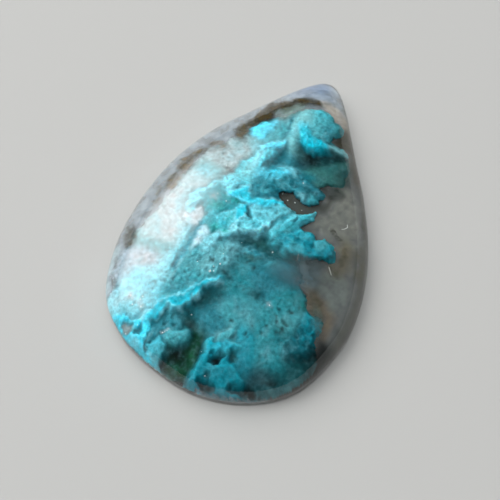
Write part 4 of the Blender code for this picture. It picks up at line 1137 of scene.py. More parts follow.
def grid_faces(keep: np.ndarray) -> tuple[np.ndarray, np.ndarray]:
    """Find the square faces whose four corners are kept.

    Args:
        keep: which of a grid's points are kept.

    Returns:
        The numbers of the points in use, and each face's corners counted among them.
    """
    cells = keep[:-1, :-1] & keep[1:, :-1] & keep[:-1, 1:] & keep[1:, 1:]
    rows, columns = np.nonzero(cells)
    width = keep.shape[1]
    corner = rows * width + columns
    quads = np.stack([corner, corner + 1, corner + width + 1, corner + width], axis=1)
    used, packed = np.unique(quads, return_inverse=True)
    return used, packed.reshape(-1, 4)


def ring_faces(rings: int, count: int, start: int = 0) -> Faces:
    """Join rings of vertices into the side of a tube.

    Args:
        rings: how many rings there are.
        count: vertices in each ring.
        start: number of the first vertex.

    Returns:
        The faces.
    """
    faces = []
    for row in range(rings - 1):
        for i in range(count):
            here, beside = start + row * count + i, start + row * count + (i + 1) % count
            faces.append((here, beside, beside + count, here + count))
    return faces


def finished_mesh(name: str, vertices: np.ndarray, faces: Sequence[Sequence[int]],
                  material: bpy.types.Material, smooth: bool = True) -> bpy.types.Object:
    """Make an object in metres from vertices in millimetres.

    Args:
        name: the object's name.
        vertices: one row for each vertex, in mm.
        faces: vertex numbers of each face.
        material: its material.
        smooth: whether the faces are shaded smooth.

    Returns:
        The linked object.
    """
    mesh = bpy.data.meshes.new(name)
    mesh.from_pydata((np.asarray(vertices) * MM).tolist(), [], faces)
    if smooth:
        mesh.shade_smooth()
    mesh.update()
    mesh.materials.append(material)
    made = bpy.data.objects.new(name, mesh)
    bpy.context.scene.collection.objects.link(made)
    return made


def paint(piece: bpy.types.Object, name: str, values: np.ndarray) -> None:
    """Give a piece's vertices four values each, which its shader calls `name`."""
    layer = piece.data.color_attributes.new(name, "FLOAT_COLOR", "POINT")
    layer.data.foreach_set("color", np.clip(values, 0, 1).astype(np.float32).ravel())


def heading(bearing: float, elevation: float) -> Vector:
    """Return the direction of a bearing, clockwise from +Y, at an elevation, both in degrees."""
    around, above = math.radians(bearing), math.radians(elevation)
    return Vector((math.sin(around) * math.cos(above), math.cos(around) * math.cos(above), math.sin(above)))


class NodeBench:
    """Short calls for building a tree of shader nodes."""

    def __init__(self, tree: bpy.types.NodeTree) -> None:
        """Work on a tree."""
        self.tree = tree

    def node(self, kind: str, inputs: dict[str, object] | None = None, **settings: object) -> bpy.types.Node:
        """Add a node.

        Args:
            kind: Blender's name for it.
            inputs: values of its sockets.
            **settings: values of its own properties.

        Returns:
            The node.
        """
        made = self.tree.nodes.new(kind)
        for key, value in settings.items():
            setattr(made, key, value)
        for key, value in (inputs or {}).items():
            made.inputs[key].default_value = value
        return made

    def link(self, start: bpy.types.NodeSocket, end: bpy.types.NodeSocket) -> None:
        """Join two sockets."""
        self.tree.links.new(start, end)

    def reckon(self, operation: str, *values: object, **settings: object) -> bpy.types.NodeSocket:
        """Work out a sum.

        Args:
            operation: Blender's name for it.
            *values: sockets and numbers.
            **settings: values of the node's own properties.

        Returns:
            The result's socket.
        """
        made = self.node("ShaderNodeMath", operation=operation, **settings)
        for socket, value in zip(made.inputs, values):
            if isinstance(value, bpy.types.NodeSocket):
                self.link(value, socket)
            else:
                socket.default_value = value
        return made.outputs[0]

    def ranged(self, value: bpy.types.NodeSocket, source: Place, goal: Place,
               ease: str = "LINEAR") -> bpy.types.NodeSocket:
        """Map a value from one range on to another.

        Args:
            value: the value's socket.
            source: where it starts and ends.
            goal: what that is mapped to.
            ease: how it goes from one end to the other.

        Returns:
            The result's socket.
        """
        ends = {"From Min": source[0], "From Max": source[1], "To Min": goal[0], "To Max": goal[1]}
        made = self.node("ShaderNodeMapRange", ends, interpolation_type=ease)
        self.link(value, made.inputs["Value"])
        return made.outputs["Result"]


class MaterialBench(NodeBench):
    """Builds one material."""

    def __init__(self, name: str) -> None:
        """Start a material with a Principled shader.

        Args:
            name: the material's name.
        """
        self.material = bpy.data.materials.new(name)
        self.material.use_nodes = True
        super().__init__(self.material.node_tree)
        self.shader = self.tree.nodes["Principled BSDF"]
        self.output = self.tree.nodes["Material Output"]

    def set(self, **values: object) -> None:
        """Set the shader's own sockets; underscores in a name stand for spaces."""
        for key, value in values.items():
            self.shader.inputs[key.replace("_", " ")].default_value = value

    def noise(self, scale: float, detail: float, roughness: float) -> bpy.types.NodeSocket:
        """Add noise in object space.

        Args:
            scale: bumps per millimetre.
            detail: how many finer octaves it has.
            roughness: how strong they are.

        Returns:
            The noise's socket.
        """
        place = self.node("ShaderNodeTexCoord")
        made = self.node("ShaderNodeTexNoise",
                         {"Scale": scale / MM, "Detail": detail, "Roughness": roughness})
        self.link(place.outputs["Object"], made.inputs["Vector"])
        return made.outputs["Fac"]

    def bump(self, height: bpy.types.NodeSocket, distance: float) -> None:
        """Add a bump to the shader.

        Args:
            height: the bump's height at each point, 0 to 1.
            distance: what 1 stands for, in mm.
        """
        made = self.node("ShaderNodeBump", {"Strength": 1.0, "Distance": distance * MM})
        self.link(height, made.inputs["Height"])
        self.link(made.outputs["Normal"], self.shader.inputs["Normal"])


@dataclass(frozen=True)
class ClearPolish:
    """Finish of the clear, slightly smoky chalcedony.

    Attributes:
        ior: how strongly it bends light.
        roughness: how rough its polish is.
        smoke: the colour that passes through it.
        density: how much it absorbs, per millimetre.
        shadow: what it lets through of the lamps' light.
    """

    ior: float = 1.54
    roughness: float = 0.0
    smoke: Colour = (0.80, 0.83, 0.82)
    density: float = 0.28
    shadow: Colour = (0.9, 0.9, 0.9)

    def material(self) -> bpy.types.Material:
        """Build see-through glass with plain absorption.

        Returns:
            The material.
        """
        bench = MaterialBench("clear chalcedony")
        bench.set(Base_Color=(1, 1, 1, 1), Roughness=self.roughness, IOR=self.ior, Transmission_Weight=1.0)
        self._let_lamps_through(bench)
        absorb = bench.node("ShaderNodeVolumeAbsorption",
                            {"Color": (*self.smoke, 1), "Density": self.density / MM})
        bench.link(absorb.outputs["Volume"], bench.output.inputs["Volume"])
        return bench.material

    def _let_lamps_through(self, bench: MaterialBench) -> None:
        """Let the lamps light what lies in and under the stone.

        Args:
            bench: the material under way.
        """
        path = bench.node("ShaderNodeLightPath")
        clear = bench.node("ShaderNodeBsdfTransparent", {"Color": (*self.shadow, 1)})
        either = bench.node("ShaderNodeMixShader")
        bench.link(path.outputs["Is Shadow Ray"], either.inputs[0])
        bench.link(bench.shader.outputs[0], either.inputs[1])
        bench.link(clear.outputs[0], either.inputs[2])
        bench.link(either.outputs[0], bench.output.inputs["Surface"])


@dataclass(frozen=True)
class CrinkledMineral:
    """Finish of the chrysocolla: its painted pigment, broken up by fine grain and by crests that are
    brightened partly as painted highlight.

    Attributes:
        grain: bumps per mm, detail and roughness of the grain.
        crests: the same of the noise that the crests wind along.
        noise_span: the range in which nearly all of a noise lies.
        shade: darkest and brightest share of the pigment that the grain leaves.
        roughness: the surface's least and most roughness.
        gloss: its specular level.
        depth: height of the grain, in mm.
        crest_width: half width of a crest, as a share of the noise.
        crest_highlight_gain: how much brighter a crest is, partly painted highlight.
    """

    grain: NoiseScale = (3.4, 6.0, 0.75)
    crests: NoiseScale = (1.2, 4.0, 0.6)
    noise_span: Place = (0.3, 0.7)
    shade: Place = (0.68, 1.24)
    roughness: Place = (0.4, 0.7)
    gloss: float = 0.1
    depth: float = 0.05
    crest_width: float = 0.05
    crest_highlight_gain: float = 0.34

    def material(self) -> bpy.types.Material:
        """Build the pigment, brighter on its crests as partly painted highlight, with grain in its colour,
        roughness and surface.

        Returns:
            The material.
        """
        bench = MaterialBench("chrysocolla")
        pigment = bench.node("ShaderNodeAttribute", attribute_name="pigment")
        grain = bench.noise(*self.grain)
        shade = bench.ranged(grain, self.noise_span, self.shade)
        bright = bench.node("ShaderNodeHueSaturation")
        bench.link(pigment.outputs["Color"], bright.inputs["Color"])
        bench.link(bench.reckon("ADD", shade, self._crests_and_highlight(bench, pigment.outputs["Alpha"])),
                   bright.inputs["Value"])
        bench.link(bright.outputs["Color"], bench.shader.inputs["Base Color"])
        bench.link(bench.ranged(grain, self.noise_span, self.roughness), bench.shader.inputs["Roughness"])
        bench.bump(grain, self.depth)
        bench.set(Specular_IOR_Level=self.gloss)
        return bench.material

    def _crests_and_highlight(self, bench: MaterialBench, strength: bpy.types.NodeSocket) -> bpy.types.NodeSocket:
        """Draw hair-fine winding crests, brightened partly as painted highlight.

        Args:
            bench: the material under way.
            strength: how folded the surface is, 0 to 1.

        Returns:
            How much brighter each point is for them.
        """
        middle = sum(self.noise_span) / 2
        away = bench.reckon("ABSOLUTE", bench.reckon("SUBTRACT", bench.noise(*self.crests), middle))
        near = bench.reckon("DIVIDE", away, self.crest_width)
        line = bench.reckon("SUBTRACT", 1.0, near, use_clamp=True)
        return bench.reckon("MULTIPLY", bench.reckon("MULTIPLY", line, strength), self.crest_highlight_gain)


@dataclass(frozen=True)
class CloudyMatter:
    """Finish of what floats in the clear stone: a soft colour that hides only a part of what is behind.

    Attributes:
        name: the material's name.
        roughness: how rough it is.
    """

    name: str
    roughness: float = 0.9

    def material(self) -> bpy.types.Material:
        """Build it from the piece's own colours and cover.

        Returns:
            The material.
        """
        bench = MaterialBench(self.name)
        layer = bench.node("ShaderNodeAttribute", attribute_name="layer")
        bench.link(layer.outputs["Color"], bench.shader.inputs["Base Color"])
        bench.link(layer.outputs["Alpha"], bench.shader.inputs["Alpha"])
        bench.set(Roughness=self.roughness, Specular_IOR_Level=0.0)
        return bench.material


@dataclass(frozen=True)
class PlainFinish:
    """A finish of one colour all over.

    Attributes:
        name: the material's name.
        tone: its colour, in linear light.
        roughness: how rough it is.
    """

    name: str
    tone: Colour
    roughness: float

    def material(self) -> bpy.types.Material:
        """Build it.

        Returns:
            The material.
        """
        bench = MaterialBench(self.name)
        bench.set(Base_Color=(*self.tone, 1), Roughness=self.roughness)
        return bench.material


# near-white for the quartz grains, where it is partly painted glint, and for the pale threads
QUARTZ = PlainFinish("quartz grains", (0.92, 0.93, 0.92), 0.25)
PALE_FLOOR = PlainFinish("pale floor", (0.55, 0.55, 0.54), 0.85)


@dataclass
class StoneShape:
    """The cut stone's form: a pear outline, an upright girdle and a low dome.

    Attributes:
        height: back to the crest of the dome.
        girdle: height at which the dome starts.
        bevel: the small bevel round the back.
        crest: plan position of the crest.
        roundness: exponent of the dome's crown.
        shoulder: exponent of its sides.
        edge: the hand-cut outline, anticlockwise from the tip.
        coarse_steps: samples for each corner of the outline of the solids.
        fine_steps: samples for each corner here.
        room_stride: one in so many of them is enough to measure from.
        shift: from the drawing to the frame, along X and Y.
        centre: the crest's place in the frame.
        curve: the outline's samples.
        bearings: the samples' bearings from the crest, in order.
        reaches: their distances from it.
    """

    height: float = 6.2
    girdle: float = 1.4
    bevel: float = 0.3
    crest: Place = (0.2, -4.5)
    roundness: float = 2.2
    shoulder: float = 0.56
    edge: Points = (
        (5, 160.5), (-8, 155), (-27, 136), (-53, 104), (-79, 69), (-98, 27), (-107.5, -20), (-108, -66),
        (-96, -110), (-69, -137), (-34, -152), (10, -159), (54, -149), (89, -122), (108, -76), (110, -34),
        (99, 13), (78, 58), (53, 99), (32, 134), (17, 154),
    )
    coarse_steps: int = 3
    fine_steps: int = 12
    room_stride: int = 4
    shift: np.ndarray = field(init=False)
    centre: np.ndarray = field(init=False)
    curve: np.ndarray = field(init=False)
    bearings: np.ndarray = field(init=False)
    reaches: np.ndarray = field(init=False)

    def __post_init__(self) -> None:
        """Centre the outline on the frame's origin, as the solids are."""
        edge = drawn(self.edge)
        coarse = closed_spline(edge, self.coarse_steps)
        self.shift = -(coarse.min(axis=0) + coarse.max(axis=0)) / 2
        self.centre = np.array(self.crest) + self.shift
        self.curve = closed_spline(edge, self.fine_steps) + self.shift
        away = self.curve - self.centre
        bearings = np.arctan2(away[:, 1], away[:, 0])
        order = np.argsort(bearings)
        self.bearings, self.reaches = bearings[order], np.hypot(*away.T)[order]

    def share(self, x: np.ndarray, y: np.ndarray) -> np.ndarray:
        """Work out how far out points lie.

        Args:
            x: their X values, in mm.
            y: their Y values.

        Returns:
            0 at the crest to 1 at the stone's edge.
        """
        away_x, away_y = x - self.centre[0], y - self.centre[1]
        reach = np.interp(np.arctan2(away_y, away_x), self.bearings, self.reaches, period=2 * np.pi)
        return np.hypot(away_x, away_y) / reach

    def dome(self, x: np.ndarray, y: np.ndarray) -> np.ndarray:
        """Return the dome's height over plan points."""
        return self.profile(np.clip(self.share(x, y), 0, 1))

    def profile(self, share: np.ndarray) -> np.ndarray:
        """Return the dome's height at shares of the way to the edge."""
        rise = (1 - share ** self.roundness) ** self.shoulder
        return self.girdle + (self.height - self.girdle) * rise

    def traced(self, edge: Points, drift: np.ndarray | float = 0.0) -> np.ndarray:
        """Return a smooth outline in the frame, moved along by `drift`."""
        return closed_spline(drawn(edge), self.coarse_steps) + self.shift + drift

    def grid(self, spacing: float) -> tuple[np.ndarray, np.ndarray]:
        """Return the X and Y values of a grid over the stone."""
        low, high = self.curve.min(axis=0), self.curve.max(axis=0)
        return np.meshgrid(np.arange(low[0], high[0], spacing), np.arange(low[1], high[1], spacing))

    def room(self, x: np.ndarray, y: np.ndarray) -> np.ndarray:
        """Return how far points lie inside the stone's edge."""
        return depth_inside(self.curve[::self.room_stride], x, y)


@dataclass
class ClearStone:
    """The one clear piece that stands for both halves of the stone.

    Attributes:
        shape: its form.
        polish: its finish.
        back_rings: where rings of vertices lie on the back, as shares of the way out.
        girdle_rings: where they lie on the girdle, as shares of its height.
        dome_rings: how many lie on the dome.
    """

    shape: StoneShape
    polish: ClearPolish = field(default_factory=ClearPolish)
    back_rings: Sequence[float] = (0.25, 0.5, 0.75)
    girdle_rings: Sequence[float] = (0.25, 0.5, 0.75, 1.0)
    dome_rings: int = 56

    def build(self) -> bpy.types.Object:
        """Loft the back, girdle and dome as one closed mesh.

        Returns:
            The clear stone.
        """
        shape = self.shape
        out = shape.curve - shape.centre
        inner = out * (1 - shape.bevel / np.hypot(*out.T)[:, None])
        upright = shape.girdle - shape.bevel
        levels = [(out * share, 0.0) for share in self.back_rings]
        levels += [(inner, 0.0), (out, shape.bevel)]
        levels += [(out, shape.bevel + upright * step) for step in self.girdle_rings]
        for angle in np.linspace(0, np.pi / 2, self.dome_rings + 1)[1:-1]:
            share = math.cos(angle) ** (2 / shape.roundness)
            levels.append((out * share, float(shape.profile(np.array(share)))))
        return self._loft(levels)

    def _loft(self, levels: list[tuple[np.ndarray, float]]) -> bpy.types.Object:
        """Join rings of vertices into one closed, smooth object.

        Args:
            levels: each ring's places from the crest, and its height.

        Returns:
            The object.
        """
        centre = self.shape.centre
        count = len(self.shape.curve)
        vertices = [(*(centre + place), z) for ring, z in levels for place in ring]
        faces = ring_faces(len(levels), count)
        bottom, top = len(vertices), len(vertices) + 1
        vertices += [(*centre, 0.0), (*centre, self.shape.height)]
        last = (len(levels) - 1) * count
        for i in range(count):
            j = (i + 1) % count
            faces += [(bottom, j, i), (last + i, last + j, top)]
        return finished_mesh("clear_stone", np.array(vertices), faces, self.polish.material())


@dataclass(frozen=True)
class Weather:
    """The noise that the growth's surface is made from, read once over its grid.

    Attributes:
        folds: broad sharp-crested folds.
        creases: finer ones.
        grains: coarse grain.
        mottle: patches of colour.
        clouds: large soft patches of colour.
        specks: fine grain that picks out dark specks.
        swells: gentle broad swells.
        crests: thin winding lines along the folds.
        hairs: finer ones.
        breaks: what breaks a lip up along its length.
    """

    folds: np.ndarray
    creases: np.ndarray
    grains: np.ndarray
    mottle: np.ndarray
    clouds: np.ndarray
    specks: np.ndarray
    swells: np.ndarray
    crests: np.ndarray
    hairs: np.ndarray
    breaks: np.ndarray

    @classmethod
    def over(cls, x: np.ndarray, y: np.ndarray, ragged_x: np.ndarray, ragged_y: np.ndarray) -> "Weather":
        """Read every noise over a grid.

        Args:
            x: the grid's X values, in mm.
            y: its Y values.
            ragged_x: the X values, pushed about.
            ragged_y: the Y values, pushed about.

        Returns:
            The noise.
        """
        bend = 0.5 * Ripple(61, 1.6).layered(x, y, 2)
        return cls(
            folds=Ripple(31, 0.95).ridged(ragged_x, ragged_y, 3),
            creases=Ripple(35, 0.5).ridged(ragged_x, ragged_y, 2),
            grains=Ripple(41, 0.34).layered(x, y, 2),
            mottle=Ripple(45, 0.7).layered(x, y, 3),
            clouds=Ripple(63, 1.5).layered(x + bend, y - bend, 4),
            specks=Ripple(67, 0.24).layered(x, y, 2),
            swells=Ripple(51, 2.4).layered(x, y, 2),
            crests=thin_lines(Ripple(73, 0.9).layered(ragged_x, ragged_y, 2), 0.09),
            hairs=thin_lines(Ripple(77, 0.42).layered(ragged_x, ragged_y, 2), 0.16),
            breaks=Ripple(57, 1.1).layered(x, y, 2),
        )


@dataclass
class Ground:
    """A surface under way.

    Attributes:
        height: its height at each point, in mm.
        colour: its colour.
        crinkle: how strongly it is folded, 0 to 1.
        grain: how grainy it is, 0 to 1.
        trim: the colour of the pale lips, partly painted highlight, times their cover, and the cover.
    """

    height: np.ndarray
    colour: np.ndarray
    crinkle: np.ndarray
    grain: np.ndarray
    trim: np.ndarray

    @classmethod
    def plain(cls, height: np.ndarray, tone: Pigment, crinkle: float, grain: float) -> "Ground":
        """Start a surface that is the same all over.

        Args:
            height: its height at each point, in mm.
            tone: its colour.
            crinkle: how strongly it is folded.
            grain: how grainy it is.

        Returns:
            The surface, with no lips.
        """
        flat = np.ones(height.shape)
        return cls(height, flat[..., None] * np.array(tone.value), crinkle * flat, grain * flat,
                   np.zeros((*height.shape, 4)))

    def melted(self, cells: float) -> "Ground":
        """Return the surface with all but its trim run together over a few cells."""
        soft = [blurred(part, cells) for part in (self.height, self.colour, self.crinkle, self.grain)]
        return Ground(*soft, self.trim)

    def trimmed(self) -> None:
        """Lay the pale lips' colour, partly painted highlight, over the surface."""
        self.colour = self.colour * (1 - self.trim[..., 3:]) + self.trim[..., :3]

    def tint(self, tone: Pigment, share: np.ndarray) -> None:
        """Lay a colour over the surface, `share` of it at each point."""
        cover = share[..., None]
        self.colour = self.colour * (1 - cover) + np.array(tone.value) * cover

    def darken(self, loss: Colour, share: np.ndarray) -> None:
        """Take `loss` of each of the three lights away, by `share` at each point."""
        self.colour = self.colour * (1 - share[..., None] * np.array(loss))


@dataclass(frozen=True)
class Patina:
    """How the growth's colours are broken up, and where light and shade are painted into them. Covers go from
    0 to 1, and a band is a range of noise.

    Attributes:
        cloud_band: where a large cloud starts and is full.
        mottle_band: where a patch does.
        clouds: cover of the clouds.
        pale_mottle: cover of the pale patches.
        dim_mottle: cover of the dim ones.
        smooth_share: what is left of both where there is no grain.
        pale: how far a pale patch goes towards the pale pigment.
        dim: what a dim patch takes from red, green and blue.
        milky_band: how light the milky ground is in red.
        blush_band: where it turns rose.
        blush: how far it does.
        bloom_band: where it turns blue.
        bloom: how far it does.
        speck_band: where the dark specks are.
        speck: what they take from red, green and blue.
        dust_band: where the pale specks are.
        dust: how pale they are.
        near: what counts as near by for the painted highlight and shade of the fine relief, in mm.
        gain: how much brighter a place is per mm over what is near by, as painted highlight.
        most_painted_light: the most that this painted highlight and shade changes a place.
        crease: how much the creases tell, as painted light on their crests and painted shade in their folds.
        grain: how much the grain does.
        crest_band: where crests show.
        crest: how pale they are; the pale crests are partly painted highlight.
        hair_band: where the fine ones show.
        hair: how pale they are, partly painted highlight.
        wide: what counts as near by for the painted shade in the hollows, in mm.
        hollow_band: how deep a shaded place lies under that, in mm.
        hollow: what the painted shade takes of red, green and blue.
    """

    cloud_band: Place = (0.0, 0.5)
    mottle_band: Place = (0.1, 0.7)
    clouds: float = 0.42
    pale_mottle: float = 0.30
    dim_mottle: float = 0.40
    smooth_share: float = 0.7
    pale: float = 0.4
    dim: Colour = (0.62, 0.36, 0.32)
    milky_band: Place = (0.22, 0.45)
    blush_band: Place = (0.0, 0.5)
    blush: float = 0.5
    bloom_band: Place = (0.05, 0.5)
    bloom: float = 0.35
    speck_band: Place = (0.38, 0.64)
    speck: Colour = (0.74, 0.58, 0.60)
    dust_band: Place = (0.40, 0.75)
    dust: float = 0.3
    near: float = 0.22
    gain: float = 3.6
    most_painted_light: float = 0.36
    crease: float = 0.3
    grain: float = 0.16
    crest_band: Place = (-0.3, 0.4)
    crest: float = 0.45
    hair_band: Place = (-0.3, 0.3)
    hair: float = 0.22
    wide: float = 0.8
    hollow_band: Place = (0.1, 0.8)
    hollow: Colour = (0.4, 0.28, 0.26)

    def lay(self, ground: Ground, noise: Weather, spacing: float) -> None:
        """Break every colour up, and paint highlight on the crests and shade in the valleys.

        Args:
            ground: the surface.
            noise: the noise over it.
            spacing: distance between its points, in mm.
        """
        self._cloud(ground, noise)
        self._speckle(ground, noise)
        self._paint_light_and_shade(ground, noise, spacing)

    def _cloud(self, ground: Ground, noise: Weather) -> None:
        """Lay pale and dim patches, and turn the milky ground rose and blue.

        Args:
            ground: the surface.
            noise: the noise over it.
        """
        room = self.smooth_share + (1 - self.smooth_share) * ground.grain
        pale = (smooth_step(*self.cloud_band, noise.clouds) * self.clouds
                + smooth_step(*self.mottle_band, noise.mottle) * self.pale_mottle)
        ground.tint(P.PALE, pale * room * self.pale)
        dim = (smooth_step(*self.cloud_band, -noise.clouds) * self.clouds
               + smooth_step(*self.mottle_band, -noise.mottle) * self.dim_mottle)
        ground.darken(self.dim, dim * room)
        milky = smooth_step(*self.milky_band, ground.colour[..., 0])
        ground.tint(P.ROSE, smooth_step(*self.blush_band, noise.breaks) * milky * self.blush)
        ground.tint(P.POWDER, smooth_step(*self.bloom_band, -noise.breaks) * milky * self.bloom)

    def _speckle(self, ground: Ground, noise: Weather) -> None:
        """Strew dark and pale specks where the ground is grainy."""
        ground.darken(self.speck, smooth_step(*self.speck_band, noise.specks) * ground.grain)
        ground.tint(P.SURF, smooth_step(*self.dust_band, -noise.specks) * ground.grain * self.dust)

    def _paint_light_and_shade(self, ground: Ground, noise: Weather, spacing: float) -> None:
        """Paint light and shade: lighten what stands up as painted highlight, draw the pale crests, partly
        painted highlight, and darken the hollows as painted shade.

        Args:
            ground: the surface.
            noise: the noise over it.
            spacing: distance between its points, in mm.
        """
        # painted highlight on what stands over its neighbours, painted shade on what lies under them and in
        # the creases
        fine = ground.height - blurred(ground.height, self.near / spacing)
        bright = 1 + np.clip(fine * self.gain, -self.most_painted_light, self.most_painted_light)
        creased = (self.crease * ground.crinkle * (noise.creases - FOLD_MIDDLE)
                   + self.grain * ground.grain * noise.grains)
        ground.colour = ground.colour * (bright * (1 + creased))[..., None]
        # pale crests and hairs, partly painted highlight
        crest = self.crest * noise.crests * smooth_step(*self.crest_band, noise.breaks)
        hair = self.hair * noise.hairs * smooth_step(*self.hair_band, noise.mottle)
        ground.tint(P.FOAM, np.maximum(crest, hair) * ground.crinkle)
        # painted shade in the hollows
        sunk = blurred(ground.height, self.wide / spacing) - ground.height
        ground.darken(self.hollow, smooth_step(*self.hollow_band, sunk))


@dataclass
class Underside:
    """The growth's lumpy underside.

    Attributes:
        floor: its mean height, in mm.
        seed: picks where its lumps are.
        lump: their height, in mm.
        lump_size: distance between them, in mm.
        lump_octaves: how many sizes of lump there are.
        edge_thickness: thickness of the growth's free edges.
        thickening: how fast it thickens inwards.
        bulge: how suddenly it does.
        softness: how widely the upper side's forms are blurred before it follows them.
        least: least thickness under any point.
    """

    floor: float = 0.95
    seed: int = 71
    lump: float = 0.10
    lump_size: float = 1.8
    lump_octaves: int = 3
    edge_thickness: float = 0.5
    thickening: float = 0.9
    bulge: float = 1.5
    softness: float = 0.5
    least: float = 0.12

    def under(self, top: np.ndarray, within: np.ndarray, x: np.ndarray, y: np.ndarray,
              spacing: float) -> np.ndarray:
        """Work out its height.

        Args:
            top: the upper side's height.
            within: how far each point lies inside the growth.
            x: the points' X values.
            y: their Y values.
            spacing: distance between them.

        Returns:
            The height at each point.
        """
        lumps = self.lump * Ripple(self.seed, self.lump_size).layered(x, y, self.lump_octaves)
        thickness = self.edge_thickness + self.thickening * within ** self.bulge
        hung = blurred(top, self.softness / spacing) - thickness + 2 * lumps
        return np.minimum(np.maximum(self.floor + lumps, hung), top - self.least)


@dataclass
class Growth:
    """The chrysocolla: overlapping crinkled sheets and hollows, modelled as a fine relief.

    Outlines are drawn as they are seen through the dome from the front, so each sheet is moved
    by `drift` for every millimetre that it stands over the mean surface.

    Attributes:
        shape: the stone that it lies in.
        spacing: distance between the mesh's points.
        mean_depth: the mean surface, as a share of the dome's height.
        bed: how far the bed lies under the mean surface.
        bed_swell: height of the bed's swells.
        swell: height of a sheet's swells.
        drift: how far a raised point is moved along X and Y, per mm of lift.
        ragging: how far edges are pushed about, and the size of the pushes.
        ragging_seeds: pick the pushes along X and along Y.
        far: a depth that stands for far outside.
        reach: how far outside its outline a sheet goes on.
        wall_reach: how far outside its outline a hollow's wall does.
        melt: how widely the soft forms run into one another.
        temper: how widely the crisp sheets do.
        overlap: how softly a sheet gives way to a higher one.
        edge_round: how widely a sheet's edge is rounded.
        rim_width: width of a sheet's pale lip, which is partly painted highlight.
        rim_wobble: its least width and how much that varies, as shares.
        rim_cover: how whole it is and how much that varies.
        rim_limits: least and most of it that shows.
        fold: height of the broad folds.
        crease: height of the finer ones.
        grit: height of the grain.
        hollow_grit: height of the grain in a hollow.
        stroke_spread: a stroke's half width, as a share of its width.
        pit_cover: how dark a pit is.
        slope: how steeply the growth drops at its outer edge.
        edge_rise: its thickness just inside that edge.
        thinnest: where it ends.
        roof: least stone over the growth.
        roof_margin: how much nearer the edge the roof is taken, as a share.
        clearance: least stone between the growth and the stone's edge.
        softness: how far the pigment spreads.
        patina: how its colours are broken up.
        underside: its lower side.
        finish: its finish.
        x: the grid's X values.
        y: its Y values.
        ragged_x: the X values, pushed about.
        ragged_y: the Y values, pushed about.
        mean: the mean surface.
        noise: the noise over the grid.
        surface: the upper side, once it is built.
    """

    shape: StoneShape
    spacing: float = 0.085
    mean_depth: float = 0.70
    bed: float = 0.75
    bed_swell: float = 0.1
    swell: float = 0.08
    drift: Place = (0.12, -0.24)
    ragging: Points = ((0.05, 1.3), (0.12, 0.6), (0.13, 0.34), (0.06, 0.2))
    ragging_seeds: tuple[int, int] = (11, 21)
    far: float = 4.0
    reach: float = 1.2
    wall_reach: float = 1.6
    melt: float = 0.26
    temper: float = 0.09
    overlap: float = 0.08
    edge_round: float = 0.12
    rim_width: float = 0.12
    rim_wobble: Place = (0.8, 0.6)
    rim_cover: Place = (0.6, 1.3)
    rim_limits: Place = (0.05, 0.95)
    fold: float = 0.30
    crease: float = 0.16
    grit: float = 0.06
    hollow_grit: float = 0.08
    stroke_spread: float = 0.6
    pit_cover: float = 0.9
    slope: float = 2.2
    edge_rise: float = 0.2
    thinnest: float = 0.05
    roof: float = 0.35
    roof_margin: float = 0.02
    clearance: float = 0.35
    softness: float = 0.05
    patina: Patina = field(default_factory=Patina)
    underside: Underside = field(default_factory=Underside)
    finish: CrinkledMineral = field(default_factory=CrinkledMineral)
    x: np.ndarray = field(init=False, repr=False)
    y: np.ndarray = field(init=False, repr=False)
    ragged_x: np.ndarray = field(init=False, repr=False)
    ragged_y: np.ndarray = field(init=False, repr=False)
    mean: np.ndarray = field(init=False, repr=False)
    noise: Weather = field(init=False, repr=False)
    surface: np.ndarray = field(init=False, repr=False)

    def __post_init__(self) -> None:
        """Lay the grid over the stone and read the noise."""
        self.x, self.y = self.shape.grid(self.spacing)
        self.ragged_x = self.x + self._push(self.ragging_seeds[0])
        self.ragged_y = self.y + self._push(self.ragging_seeds[1])
        self.mean = self.mean_depth * self.shape.dome(self.x, self.y)
        self.noise = Weather.over(self.x, self.y, self.ragged_x, self.ragged_y)
        self.surface = self.mean

    def _push(self, seed: int) -> np.ndarray:
        """Return how far the grid is pushed about, so that every edge comes out ragged."""
        return sum(push * Ripple(seed + i, size).at(self.x, self.y)
                   for i, (push, size) in enumerate(self.ragging))

    def _depth(self, edge: Points, lift: float, margin: float) -> tuple[np.ndarray, np.ndarray]:
        """Measure the depth inside an outline near it, and give a deep negative value elsewhere.

        Args:
            edge: the outline.
            lift: how far what it bounds stands over the mean surface.
            margin: how far round the outline to measure.

        Returns:
            The depth at each point, and the outline's middle.
        """
        outline = self.shape.traced(edge, lift * np.array(self.drift))
        low, high = outline.min(axis=0) - margin, outline.max(axis=0) + margin
        x, y = self.ragged_x, self.ragged_y
        near = (x > low[0]) & (x < high[0]) & (y > low[1]) & (y < high[1])
        depth = np.full(x.shape, -self.far)
        depth[near] = depth_inside(outline, x[near], y[near])
        return depth, outline.mean(axis=0)

    def _seen(self, ground: Ground) -> tuple[np.ndarray, np.ndarray]:
        """Find where each point of a surface seems to lie in the drawing.

        Args:
            ground: the surface.

        Returns:
            The X and Y values, in mm.
        """
        lift = ground.height - self.mean
        return (self.ragged_x - self.shape.shift[0] - self.drift[0] * lift,
                self.ragged_y - self.shape.shift[1] - self.drift[1] * lift)

